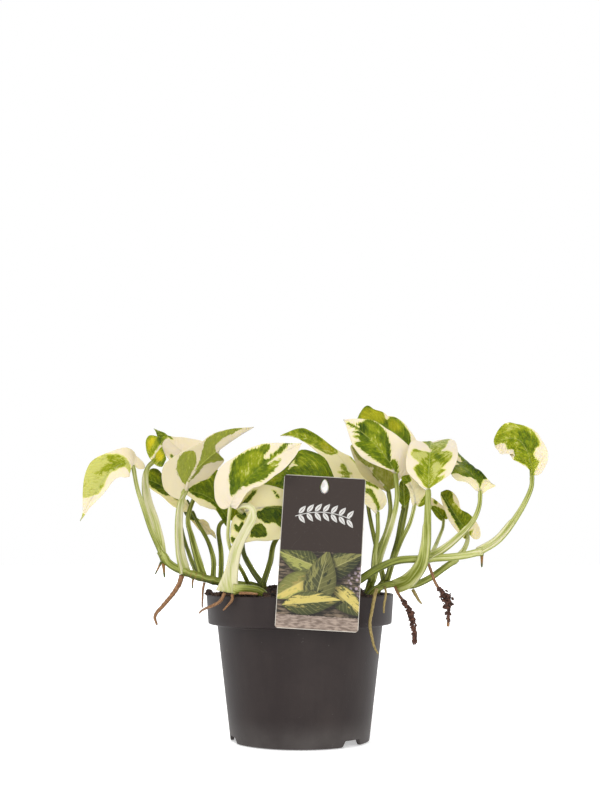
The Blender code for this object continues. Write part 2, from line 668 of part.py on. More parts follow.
def make_pot():
    """The pot: a turned wall with notches in its foot ring and drain holes in its floor."""
    inner_foot = FOOT_RADIUS - FOOT_RING_WIDTH
    floor = FLOOR_UNDER + POT_WALL
    shelf = pot_shelf()
    profile = (
        (0, 0), (CENTRE_DISC_RADIUS, 0), (CENTRE_DISC_RADIUS + DISC_SLOPE, FLOOR_UNDER),
        (inner_foot - FOOT_SLOPE, FLOOR_UNDER), (inner_foot, 0), (FOOT_RADIUS, 0),
        (STEP_RADIUS, STEP_HEIGHT), (BAND_RADIUS - LIP_EDGE, shelf), (BAND_RADIUS, shelf + LIP_EDGE),
        (RIM_RADIUS, RIM_HEIGHT - LIP_EDGE), (RIM_RADIUS - LIP_EDGE, RIM_HEIGHT),
        (RIM_RADIUS - LIP_WIDTH + LIP_EDGE, RIM_HEIGHT), (RIM_RADIUS - LIP_WIDTH, RIM_HEIGHT - LIP_EDGE),
        (BAND_RADIUS - POT_WALL, shelf + POT_WALL), (STEP_RADIUS - POT_WALL, shelf),
        (FOOT_RADIUS - POT_WALL, floor), (CENTRE_DISC_RADIUS, floor),
        (CENTRE_DISC_RADIUS - DISC_SLOPE, POT_WALL), (0, POT_WALL),
    )
    pot = turned("pot", profile, POT_SEGMENTS)
    cutters = [notch_cutter(math.radians(angle - 90)) for angle in NOTCH_ANGLES]
    for hole in range(DRAIN_HOLES):
        angle = 2 * math.pi * (hole + 0.5) / DRAIN_HOLES
        x, y = DRAIN_HOLE_CIRCLE * math.cos(angle), DRAIN_HOLE_CIRCLE * math.sin(angle)
        ends = ((x, y, FLOOR_UNDER - CUT_PAST), (x, y, floor + CUT_PAST))
        cutters.append(tube("drain", ends, (DRAIN_HOLE_RADIUS, DRAIN_HOLE_RADIUS), DRAIN_HOLE_SIDES))
    combine(pot, cutters, "DIFFERENCE")
    return paint(pot, POT_GREY, POT_ROUGHNESS)


def notch_cutter(angle):
    """A wedge that cuts one notch through the foot ring at this angle."""
    body = bmesh.new()
    bottom, top = NOTCH_WIDTH / 2, NOTCH_TOP_WIDTH / 2
    outline = ((-bottom - 1, -1), (bottom + 1, -1), (bottom, 0), (top, NOTCH_HEIGHT), (-top, NOTCH_HEIGHT),
               (-bottom, 0))
    near, far = FOOT_RADIUS - FOOT_RING_WIDTH - CUT_PAST, FOOT_RADIUS + CUT_PAST
    turn = Matrix.Rotation(angle, 4, "Z")
    rings = [[body.verts.new(turn @ at((reach, across, height))) for across, height in outline]
             for reach in (near, far)]
    count = len(outline)
    for corner in range(count):
        after = (corner + 1) % count
        body.faces.new((rings[0][corner], rings[0][after], rings[1][after], rings[1][corner]))
    body.faces.new(rings[0][::-1])
    body.faces.new(rings[1])
    bmesh.ops.recalc_face_normals(body, faces=body.faces)
    return new_object("notch", body)


def soil_height(x, y):
    """The height of the soil's lumpy dome over a point."""
    part = math.hypot(x, y) / BAND_RADIUS
    lumps = math.sin(0.33 * x + 1.1) * math.cos(0.29 * y) + 0.6 * math.sin(0.71 * x - 0.53 * y + 0.4)
    return SOIL_EDGE_HEIGHT + SOIL_DOME * (1 - part**2) + SOIL_LUMP * lumps * (1 - part**6)


def make_soil(cutters):
    """The soil: it fills the pot, and every stem and the stake stand in plain holes in it."""
    floor = FLOOR_UNDER + POT_WALL + GAP
    inset = POT_WALL + GAP
    edge = RIM_RADIUS - LIP_WIDTH - GAP
    profile = [
        (0, floor), (FOOT_RADIUS - inset, floor), (STEP_RADIUS - inset, pot_shelf() + GAP),
        (BAND_RADIUS - inset, pot_shelf() + inset), (edge, SOIL_EDGE_HEIGHT - SOIL_BEVEL),
    ]
    profile += [(edge * ring, SOIL_EDGE_HEIGHT) for ring in SOIL_RINGS] + [(0, SOIL_EDGE_HEIGHT)]
    soil = turned("soil", profile, POT_SEGMENTS)
    for vertex in soil.data.vertices:
        if vertex.co.z > (SOIL_EDGE_HEIGHT - SOIL_BEVEL / 2) * MM:
            vertex.co.z = soil_height(vertex.co.x / MM, vertex.co.y / MM) * MM
    combine(soil, cutters, "DIFFERENCE")
    return paint(soil, PEAT_BROWN, PEAT_ROUGHNESS)


def stem_cutter(plant):
    """A plain hole for the buried end of a stem, a little wider and deeper than the stem."""
    points, radii = shoot_shape(plant.stem)
    count = (plant.buried - 1) * CURVE_STEPS + 1
    points, radii = points[:count].copy(), radii[:count] + HOLE_CLEARANCE
    points[0] += unit(points[0] - points[1]) * HOLE_CLEARANCE
    return tube(plant.name + " hole", points, radii, plant.stem.sides, plant.stem.flat)


def card_place():
    """Where the card stands: leaning back and turned a little clockwise."""
    return (Matrix.Translation(at(CARD_CENTRE)) @ Matrix.Rotation(math.radians(-CARD_LEAN), 4, "X")
            @ Matrix.Rotation(math.radians(CARD_TURN), 4, "Y"))


def rounded_plate(name, width, height, thickness, corner, place):
    """A plate with round corners, its face across local Y."""
    body = bmesh.new()
    outline = []
    for turn, (sx, sz) in enumerate(((1, 1), (-1, 1), (-1, -1), (1, -1))):
        for step in range(CORNER_STEPS + 1):
            angle = math.pi / 2 * (turn + step / CORNER_STEPS)
            x = sx * (width / 2 - corner) + corner * math.cos(angle)
            z = sz * (height / 2 - corner) + corner * math.sin(angle)
            outline.append((x, z))
    sides = [[body.verts.new(place @ at((x, y, z))) for x, z in outline]
             for y in (-thickness / 2, thickness / 2)]
    for corner_index in range(len(outline)):
        after = (corner_index + 1) % len(outline)
        body.faces.new((sides[0][corner_index], sides[0][after], sides[1][after], sides[1][corner_index]))
    body.faces.new(sides[0])
    body.faces.new(sides[1][::-1])
    bmesh.ops.recalc_face_normals(body, faces=body.faces)
    return new_object(name, body)


def slot_height():
    """How far the slot's middle lies above the card's."""
    return CARD_HEIGHT / 2 - SLOT_DROP - SLOT_HEIGHT / 2


def strip_top():
    """Where the stake's strip ends behind the card."""
    return card_place() @ at((0, STRIP_BACK, slot_height() - STRIP_DROP))


def make_label():
    """The card with its slot, and the stake whose head fills the slot."""
    place = card_place()
    slot_place = place @ Matrix.Translation(at((0, 0, slot_height())))
    card = rounded_plate("label_card", CARD_WIDTH, CARD_HEIGHT, CARD_THICKNESS, CARD_CORNER, place)
    slot = rounded_plate("slot", SLOT_WIDTH, SLOT_HEIGHT, CUT_PAST * 3, SLOT_CORNER, slot_place)
    combine(card, [slot], "DIFFERENCE")
    paint(card, CARD_BROWN, CARD_ROUGHNESS)
    head = rounded_plate("label_stake", STAKE_HEAD_WIDTH, STAKE_HEAD_HEIGHT, STAKE_HEAD_DEPTH,
                         STAKE_HEAD_CORNER, slot_place @ Matrix.Translation(at((0, STAKE_HEAD_BACK, 0))))
    strip = stake_strip("strip", strip_top(), STAKE_WIDTH, STAKE_THICKNESS, 0)
    combine(head, [strip], "UNION")
    return paint(head, STAKE_GREY, STAKE_ROUGHNESS)


def stake_strip(name, top, width, thickness, deeper):
    """The stake's straight strip from its foot in the soil up to its head behind the card."""
    foot = at(STAKE_FOOT)
    rise = (top - foot).normalized()
    foot = foot - rise * deeper * MM
    across = Vector((1, 0, 0))
    across = (across - rise * across.dot(rise)).normalized()
    turn = Matrix((across, rise.cross(across), rise)).transposed().to_4x4()
    length = (top - foot).length
    return block(name, (width, thickness, length / MM), Matrix.Translation((foot + top) / 2) @ turn)


def main():
    """Clears the scene and builds every piece."""
    for old in list(bpy.data.objects):
        bpy.data.objects.remove(old)
    make_pot()
    stake_hole = stake_strip("stake hole", strip_top(), STAKE_WIDTH + 2 * HOLE_CLEARANCE,
                             STAKE_THICKNESS + 2 * HOLE_CLEARANCE, HOLE_CLEARANCE)
    make_soil([*(stem_cutter(plant) for plant in PLANTS), stake_hole])
    make_label()
    for root in ROOTS:
        make_root(root)
    leaves = {leaf.name: leaf for leaf in LEAVES}
    for plant in PLANTS:
        make_plant(plant)
        for petiole in plant.petioles:
            if petiole.leaf:
                make_leaf(leaves[petiole.leaf], petiole)


main()
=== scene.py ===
"""Looks of a green and cream pothos in a 12 cm nursery pot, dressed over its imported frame.

Design tables are in millimetres, in the frame's own axes: +Z up, the picture card facing -Y.
Every leaf, vine, root, the peat, the pot, the card and its stake is a finer piece that stands for one
CAD node. Blades and their patches are drawn flat, in hundredths, and then bent over their midribs.
"""

import logging
import math
from dataclasses import dataclass
from enum import Enum
from typing import Iterable, Optional, Sequence, Union

import bmesh
import bpy
import numpy as np
from mathutils import Matrix, Vector, noise


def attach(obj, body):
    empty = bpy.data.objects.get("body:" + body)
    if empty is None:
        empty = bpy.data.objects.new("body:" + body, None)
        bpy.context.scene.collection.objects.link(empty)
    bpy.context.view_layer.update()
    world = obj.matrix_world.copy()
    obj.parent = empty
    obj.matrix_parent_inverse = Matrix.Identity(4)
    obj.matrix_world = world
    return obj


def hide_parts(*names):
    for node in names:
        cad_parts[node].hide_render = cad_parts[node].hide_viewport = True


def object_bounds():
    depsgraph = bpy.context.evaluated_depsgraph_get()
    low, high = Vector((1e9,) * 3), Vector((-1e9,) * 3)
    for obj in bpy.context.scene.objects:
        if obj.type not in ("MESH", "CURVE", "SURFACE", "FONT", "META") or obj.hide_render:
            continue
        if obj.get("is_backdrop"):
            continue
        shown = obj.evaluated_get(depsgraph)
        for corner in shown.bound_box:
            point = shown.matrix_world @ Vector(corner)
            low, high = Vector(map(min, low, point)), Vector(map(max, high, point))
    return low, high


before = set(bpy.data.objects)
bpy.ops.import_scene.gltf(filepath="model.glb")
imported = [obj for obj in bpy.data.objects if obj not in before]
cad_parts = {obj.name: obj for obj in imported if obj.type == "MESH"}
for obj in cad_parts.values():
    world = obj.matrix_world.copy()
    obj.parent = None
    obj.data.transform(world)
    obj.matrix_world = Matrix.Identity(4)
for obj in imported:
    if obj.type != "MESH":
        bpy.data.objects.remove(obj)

MM = 0.001
VEIN_SPACING = 2.6
LOG = logging.getLogger("pothos")
Array = np.ndarray
Material = bpy.types.Material
Piece = bpy.types.Object
Faces = list[tuple[int, ...]]
Pair = tuple[float, float]
Point = tuple[float, float, float]
Colour = tuple[float, float, float]


class Wire:
    """An output socket whose arithmetic adds Math nodes to its board."""

    def __init__(self, board: "Board", socket: bpy.types.NodeSocket) -> None:
        """Wraps a socket of this board."""
        self.board = board
        self.socket = socket

    def math(self, operation: str, *values: "Number") -> "Wire":
        """The result of a Math node of this operation, with wires or numbers as its values in order."""
        made = self.board.node("ShaderNodeMath", {"operation": operation}, dict(enumerate(values)))
        return Wire(self.board, made.outputs[0])

    def __add__(self, other: "Number") -> "Wire":
        """The sum."""
        return self.math("ADD", self, other)

    def __radd__(self, other: "Number") -> "Wire":
        """The sum, with the number first."""
        return self.math("ADD", other, self)

    def __sub__(self, other: "Number") -> "Wire":
        """The difference."""
        return self.math("SUBTRACT", self, other)

    def __rsub__(self, other: "Number") -> "Wire":
        """The difference, with the number first."""
        return self.math("SUBTRACT", other, self)

    def __mul__(self, other: "Number") -> "Wire":
        """The product."""
        return self.math("MULTIPLY", self, other)

    def __truediv__(self, other: "Number") -> "Wire":
        """The quotient."""
        return self.math("DIVIDE", self, other)

    def __abs__(self) -> "Wire":
        """The size without its sign."""
        return self.math("ABSOLUTE", self)

    def most(self, other: "Number") -> "Wire":
        """The larger of two values."""
        return self.math("MAXIMUM", self, other)

    def fold(self, width: float) -> "Wire":
        """The distance to the nearest multiple of twice this width."""
        return self.math("PINGPONG", self, width)

    def rise(self, low: float, high: float) -> "Wire":
        """A smooth mask that goes from 0 where the value is low to 1 where it is high."""
        made = self.board.node("ShaderNodeMapRange", {"interpolation_type": "SMOOTHSTEP"},
                               {"Value": self, "From Min": low, "From Max": high})
        return Wire(self.board, made.outputs["Result"])


Number = Union[Wire, float]
Tint = Union[Wire, Colour]


class Board:
    """A material or a world, and its node tree."""

    def __init__(self, name: str, kind: str = "materials") -> None:
        """Starts an empty node tree.

        Args:
            name: the name of the material or world.
            kind: which of Blender's lists it goes in.
        """
        self.material = getattr(bpy.data, kind).new(name)
        self.material.use_nodes = True
        self.tree = self.material.node_tree
        self.tree.nodes.clear()

    def node(self, kind: str, settings: Optional[dict] = None, inputs: Optional[dict] = None) -> bpy.types.Node:
        """Adds a node, sets it and then feeds its sockets.

        Args:
            kind: the node's type.
            settings: its properties by name, and "stops" for a ramp's (position, colour) pairs.
            inputs: a wire, a number or a colour for each socket, by name or by index.

        Returns:
            The node.
        """
        made = self.tree.nodes.new(kind)
        for key, value in (settings or {}).items():
            if key == "stops":
                ramp = made.color_ramp
                while len(ramp.elements) < len(value):
                    ramp.elements.new(1.0)
                for element, (position, colour) in zip(ramp.elements, value):
                    element.position = position
                    element.color = (*colour, 1.0)
            else:
                setattr(made, key, value)
        for key, value in (inputs or {}).items():
            socket = made.inputs[key]
            if isinstance(value, Wire):
                self.tree.links.new(value.socket, socket)
            elif isinstance(value, tuple) and socket.type == "RGBA":
                socket.default_value = (*value, 1.0)
            else:
                socket.default_value = value
        return made

    def mix(self, factor: Number, first: Tint, second: Tint) -> Wire:
        """Two colours blended: the first at factor 0, the second at factor 1."""
        made = self.node("ShaderNodeMix", {"data_type": "RGBA"}, {0: factor, 6: first, 7: second})
        return Wire(self, made.outputs[2])

    def vector(self, x: Number, y: Number, z: Number) -> Wire:
        """A vector of three values."""
        return Wire(self, self.node("ShaderNodeCombineXYZ", None, {0: x, 1: y, 2: z}).outputs[0])

    def split(self, vector: Wire) -> tuple[Wire, Wire, Wire]:
        """The three values of a vector."""
        made = self.node("ShaderNodeSeparateXYZ", None, {0: vector})
        return tuple(Wire(self, out) for out in made.outputs)

    def attribute(self, name: str, output: str = "Fac") -> Wire:
        """What the mesh carries at each vertex under this name: a number, or its Vector."""
        return Wire(self, self.node("ShaderNodeAttribute", {"attribute_name": name}).outputs[output])

    def place(self) -> Wire:
        """The object's own coordinates, in metres."""
        return Wire(self, self.node("ShaderNodeTexCoord").outputs["Object"])

    def cloud(self, vector: Wire, scale: float, detail: float = 3.0, roughness: float = 0.55) -> Wire:
        """Soft noise from 0 to 1, read at a vector, finer with scale and rougher with detail."""
        made = self.node("ShaderNodeTexNoise", None,
                         {"Vector": vector, "Scale": scale, "Detail": detail, "Roughness": roughness})
        return Wire(self, made.outputs["Fac"])

    def scatter(self, vector: Wire, scale: float, feature: str = "F1", output: str = "Distance") -> Wire:
        """The distance to the nearest of many scattered points, or another result of a Voronoi texture."""
        made = self.node("ShaderNodeTexVoronoi", {"feature": feature}, {"Vector": vector, "Scale": scale})
        return Wire(self, made.outputs[output])

    def cell_tint(self, vector: Wire, scale: float) -> Wire:
        """A value from 0 to 1 that is the same all over each cell."""
        return self.split(self.scatter(vector, scale, output="Color"))[0]

    def ramp(self, factor: Wire, *stops: tuple[float, Colour]) -> Wire:
        """The colour that a factor picks between these stops."""
        return Wire(self, self.node("ShaderNodeValToRGB", {"stops": stops}, {"Fac": factor}).outputs["Color"])

    def relief(self, height: Wire, distance: float, strength: float = 1.0) -> Wire:
        """The normal of a surface raised by this height, in units of a distance in metres."""
        made = self.node("ShaderNodeBump", None, {"Height": height, "Distance": distance, "Strength": strength})
        return Wire(self, made.outputs["Normal"])

    def finish(self, inputs: dict) -> Material:
        """Ends the tree in a Principled shader with these socket values.

        Args:
            inputs: a value or a wire for each socket of the shader.

        Returns:
            The finished material.
        """
        shader = self.node("ShaderNodeBsdfPrincipled", None, inputs)
        self.node("ShaderNodeOutputMaterial", None, {"Surface": Wire(self, shader.outputs["BSDF"])})
        return self.material


@dataclass(frozen=True)
class LeafFinish:
    """Waxy variegated leaf tissue: crisp feathered patches of green on cream, veins and puckers."""

    cream: Colour = (0.62, 0.54, 0.425)
    # The warm cream is also a painted glow: the cream of leaves in shade is painted lighter and yellower, as if lit
    # through.
    warm_and_glow_cream: Colour = (0.72, 0.66, 0.33)
    halo: Colour = (0.48, 0.50, 0.10)
    pale: Colour = (0.41, 0.42, 0.12)
    bright: Colour = (0.225, 0.265, 0.007)
    middle: Colour = (0.098, 0.148, 0.002)
    dark: Colour = (0.022, 0.050, 0.001)
    gold: Colour = (0.44, 0.39, 0.010)
    rib: Colour = (0.38, 0.42, 0.07)
    under_green: Colour = (0.21, 0.225, 0.045)
    under_cream: Colour = (0.50, 0.445, 0.32)

    def build(self) -> Material:
        """The leaf material, read from the values that each leaf's mesh carries.

        Returns:
            The finished material.
        """
        board = Board("leaf_tissue")
        where = board.attribute("blade", "Vector")
        x, q, t = board.split(where)
        streaks = board.cloud(board.vector(q * 1.4, t * 0.16, x * 0.2), 1.0, 3.0) - 0.5
        grain = board.cloud(board.vector(x, q, t * 0.4), 1.1, 4.0) - 0.5
        edge = board.attribute("green") + streaks * board.attribute("feather") * 14.0 + grain * 1.1
        green_mask = edge.rise(-0.12, 0.14)
        halo_mask = (1.0 - abs(edge + 0.1) / 0.8).rise(0.0, 1.0)
        under = board.attribute("under")
        mottle = board.cloud(board.vector(x, q, t * 0.3), 0.3, 4.0, 0.6)
        blotch = board.cloud(board.vector(x, q * 1.6, t * 0.2), 0.13, 2.0)
        cells = board.scatter(board.vector(x, q, t * 0.6), 0.42)
        borders = board.scatter(board.vector(x * 0.8, q, t * 0.5), 0.55, "DISTANCE_TO_EDGE")
        net = 1.0 - borders.rise(0.0, 0.16)
        vein_line = 1.0 - q.fold(VEIN_SPACING / 2).rise(0.05, 0.42)
        rib_line = 1.0 - abs(x).rise(0.12, 0.6)
        tone = board.attribute("tone") + (mottle - 0.5) * 1.0 + (blotch - 0.5) * 0.6 + (cells - 0.45) * 0.2
        tone = tone - net * 0.13 + vein_line * (mottle - 0.25) * 0.45
        green = board.ramp(tone, (0.0, self.dark), (0.45, self.middle), (0.8, self.bright), (1.0, self.pale))
        green = board.mix(board.attribute("gold") * (0.55 + mottle * 0.7), green, self.gold)
        green = board.mix(rib_line * board.attribute("ribbed"), green, self.rib)
        flecks = board.cloud(board.vector(q * 1.6, t * 0.45, x * 0.5), 1.0, 2.0).rise(0.68, 0.74)
        green = board.mix(flecks * 0.3, green, self.halo)
        # Random warm patches, plus each leaf's painted glow, which lightens and yellows the cream of leaves that lie
        # in shade.
        warmth_and_glow = board.cloud(where, 0.16, 2.0).rise(0.35, 0.75) * 0.12 + board.attribute("warm") * 0.6
        cream = board.mix(warmth_and_glow, self.cream, self.warm_and_glow_cream)
        cream = board.mix(rib_line * 0.25, cream, self.halo)
        cream = board.mix(halo_mask * 0.85, cream, self.halo)
        top = board.mix(green_mask, cream, green)
        under_green = board.mix((mottle - 0.5) * 0.9 + 0.35 + net * 0.2, self.under_green, green)
        below = board.mix(green_mask, board.mix(warmth_and_glow * 0.5, self.under_cream, self.warm_and_glow_cream), under_green)
        colour = board.mix(under, top, below)
        height = (cells * -0.8 + vein_line * -0.5 + mottle * 1.4) * (1.0 - under * 0.6)
        height = height * (0.2 + green_mask * 0.8) + grain * green_mask * 0.2
        return board.finish({
            "Base Color": colour,
            "Roughness": 0.38 + mottle * 0.14 + under * 0.15,
            "Normal": board.relief(height, 0.0008, 0.6),
            "Subsurface Weight": 0.45,
            "Subsurface Radius": (1.0, 0.85, 0.3),
            "Subsurface Scale": 0.0015,
            "Specular IOR Level": 0.12,
        })


@dataclass(frozen=True)
class StemFinish:
    """Juicy stems and petioles, from pale cream to dark green, with lengthwise streaks and brown scars."""

    pale: Colour = (0.56, 0.53, 0.33)
    light: Colour = (0.38, 0.40, 0.13)
    green: Colour = (0.165, 0.19, 0.02)
    dark: Colour = (0.055, 0.068, 0.007)
    scar: Colour = (0.25, 0.12, 0.04)

    def build(self) -> Material:
        """The stem material, read from the values that each stem's mesh carries.

        Returns:
            The finished material.
        """
        board = Board("stem_skin")
        around, along, _ = board.split(board.attribute("skin", "Vector"))
        lines = board.cloud(board.vector(around * 1.2, along * 0.03, 0.0), 1.0, 3.0) - 0.5
        blotch = board.cloud(board.vector(around * 0.45, along * 0.09, 3.0), 1.0, 3.0) - 0.5
        stripes = board.cloud(board.vector(around * 0.9, along * 0.02, 7.0), 1.0, 2.0).rise(0.46, 0.54) - 0.5
        tint = board.attribute("tint") + lines * 0.9 + blotch * 0.45 + stripes * 0.22
        skin = board.ramp(tint, (0.0, self.pale), (0.32, self.light), (0.66, self.green), (1.0, self.dark))
        specks = board.cloud(board.place(), 900.0, 2.0)
        scar = (board.attribute("scar") + (specks - 0.5) * 0.7).rise(0.35, 0.8)
        colour = board.mix(scar * 0.85, skin, self.scar)
        height = lines * 0.9 + specks * 0.2 + scar * 0.4
        return board.finish({
            "Base Color": colour,
            "Roughness": 0.34 + specks * 0.15 + scar * 0.3,
            "Normal": board.relief(height, 0.0006, 0.5),
            "Subsurface Weight": 0.15,
            "Subsurface Radius": (1.0, 0.9, 0.35),
            "Subsurface Scale": 0.0015,
            "Specular IOR Level": 0.2,
        })


@dataclass(frozen=True)
class RootFinish:
    """Woody aerial root: brown or olive bark with fine cross cracks and soil in the hollows."""

    name: str
    bark: Colour
    light: Colour
    dirt: Colour = (0.11, 0.042, 0.024)
    wet_dirt: Colour = (0.018, 0.008, 0.005)

    def build(self) -> Material:
        """The root material.

        Returns:
            The finished material.
        """
        board = Board(self.name)
        around, along, _ = board.split(board.attribute("skin", "Vector"))
        fibres = board.cloud(board.vector(around * 1.5, along * 0.5, 0.0), 1.0, 4.0)
        specks = board.cloud(board.place(), 1400.0, 3.0)
        colour = board.mix(fibres.rise(0.35, 0.7), self.bark, self.light)
        dirt = (board.attribute("scar") + (specks - 0.5) * 1.2).rise(0.4, 0.6)
        grains = board.mix(board.cell_tint(board.place(), 1100.0), self.wet_dirt, self.dirt)
        colour = board.mix(dirt, colour, grains)
        return board.finish({
            "Base Color": colour,
            "Roughness": 0.62 + dirt * 0.3,
            "Normal": board.relief(fibres * 0.6 + specks * 0.6, 0.0005, 0.8),
        })


@dataclass(frozen=True)
class PeatFinish:
    """Dark moist peat: near black crumbs with reddish and pale fibres."""

    dark: Colour = (0.010, 0.006, 0.005)
    brown: Colour = (0.070, 0.033, 0.018)
    fibre: Colour = (0.16, 0.085, 0.04)

    def build(self) -> Material:
        """The peat material.

        Returns:
            The finished material.
        """
        board = Board("peat_crumbs")
        place = board.place()
        coarse = board.cell_tint(place, 420.0)
        fine = board.cloud(place, 1500.0, 4.0)
        colour = board.mix(coarse * 0.8 + (fine - 0.5) * 0.5, self.dark, self.brown)
        colour = board.mix((coarse * fine).rise(0.5, 0.62) * 0.7, colour, self.fibre)
        return board.finish({
            "Base Color": colour,
            "Roughness": 0.86 + fine * 0.12,
            "Normal": board.relief(fine + board.scatter(place, 700.0), 0.0008, 0.9),
        })


@dataclass(frozen=True)
class PotFinish:
    """Moulded recycled plastic: charcoal brown, faint flow marks, dusty scuffs and rubbed edges."""

    body: Colour = (0.0155, 0.0098, 0.0094)
    dusty: Colour = (0.030, 0.0215, 0.0195)
    scuff: Colour = (0.16, 0.15, 0.14)

    def build(self) -> Material:
        """The pot material.

        Returns:
            The finished material.
        """
        board = Board("pot_plastic")
        place = board.place()
        x, y, z = board.split(place)
        flow = board.cloud(board.vector(x * 60.0, y * 60.0, z * 9.0), 1.0, 4.0)
        dust = board.cloud(place, 45.0, 4.0)
        specks = board.cloud(place, 900.0, 3.0)
        colour = board.mix((flow * 0.6 + dust * 0.6).rise(0.45, 0.85) * 0.6, self.body, self.dusty)
        splash = (board.cloud(place, 160.0, 4.0) * specks).rise(0.42, 0.5)
        low = 1.0 - z.rise(0.002, 0.02)
        colour = board.mix(splash * 0.45, colour, self.scuff)
        colour = board.mix(low * dust * 0.35, colour, self.scuff)
        return board.finish({
            "Base Color": colour,
            "Roughness": 0.42 + dust * 0.16 + splash * 0.2,
            "Normal": board.relief(specks * 0.5 + flow * 0.5, 0.0002, 0.5),
            "Specular IOR Level": 0.24,
        })


@dataclass(frozen=True)
class StakeFinish:
    """Pale grey translucent plastic of the stake."""

    body: Colour = (0.62, 0.60, 0.57)
    shade: Colour = (0.45, 0.44, 0.42)

    def build(self) -> Material:
        """The stake material.

        Returns:
            The finished material.
        """
        board = Board("stake_plastic")
        haze = board.cloud(board.place(), 300.0, 3.0)
        return board.finish({
            "Base Color": board.mix(haze.rise(0.4, 0.7), self.body, self.shade),
            "Roughness": 0.3 + haze * 0.2,
            "Normal": board.relief(haze, 0.0003, 0.4),
            "Subsurface Weight": 0.15,
            "Subsurface Scale": 0.002,
        })


@dataclass(frozen=True)
class PrintedLeaf:
    """One leaf of the card's print, in millimetres on the card."""

    x: float
    z: float
    angle: float
    length: float
    width: float
    body: Colour
    stripe: Colour
    shadow: Colour = (0.006, 0.005, 0.004)
    shadow_shift: float = 1.3
    shade: Colour = (0.02, 0.022, 0.009)
    vein: Colour = (0.42, 0.40, 0.16)
    margin: Colour = (0.014, 0.016, 0.007)
    midrib: Colour = (0.38, 0.35, 0.14)

    def axes(self, x: Wire, z: Wire, shift: float = 0.0) -> tuple[Wire, Wire, Wire]:
        """The leaf's own coordinates.

        Args:
            x: millimetres across the card.
            z: millimetres up the card.
            shift: how far the leaf is moved to the lower right.

        Returns:
            The part along the leaf and across it, and 0 at its midrib to 1 at its margin.
        """
        turn = math.radians(self.angle)
        dx, dz = x - (self.x + shift), z - (self.z - shift)
        along = (dx * math.cos(turn) + dz * math.sin(turn)) / (self.length / 2)
        across = (dz * math.cos(turn) - dx * math.sin(turn)) / (self.width / 2)
        reach = (1.0 - along * along).most(0.0) * (1.0 - along * 0.35)
        return along, across, abs(across) / reach.most(0.001)

    def over(self, board: Board, x: Wire, z: Wire, under: Wire) -> Wire:
        """The picture with this leaf over it: a soft shadow, two unlike halves, veins and variegation.

        Args:
            board: the material that the nodes go in.
            x: millimetres across the card.
            z: millimetres up the card.
            under: the picture below it.

        Returns:
            The picture's colour.
        """
        _, _, dark = self.axes(x, z, self.shadow_shift)
        colour = board.mix((1.0 - dark.rise(0.8, 1.5)) * 0.75, under, self.shadow)
        along, across, out = self.axes(x, z)
        streak = board.cloud(board.vector(along * 2.2 - out * 1.1, across * 3.0, self.angle), 1.4, 4.0, 0.62)
        veins = 1.0 - ((along * 5.5 - out * 2.2).fold(0.5) * 2.0).rise(0.0, 0.3)
        half = across.rise(-0.02, 0.02)
        patch = (streak + (0.5 - out) * 0.22 + half * 0.12).rise(0.56, 0.62)
        tissue = board.mix(patch, self.body, self.stripe)
        tissue = board.mix((1.0 - half) * 0.45 + (streak - 0.5) * 0.5, tissue, self.shade)
        tissue = board.mix(veins * 0.16 + half * 0.05, tissue, self.vein)
        tissue = board.mix(out.rise(0.7, 1.0) * 0.4, tissue, self.margin)
        tissue = board.mix((1.0 - out.rise(0.0, 0.06)) * 0.6, tissue, self.midrib)
        return board.mix(1.0 - out.rise(0.97, 1.03), colour, tissue)


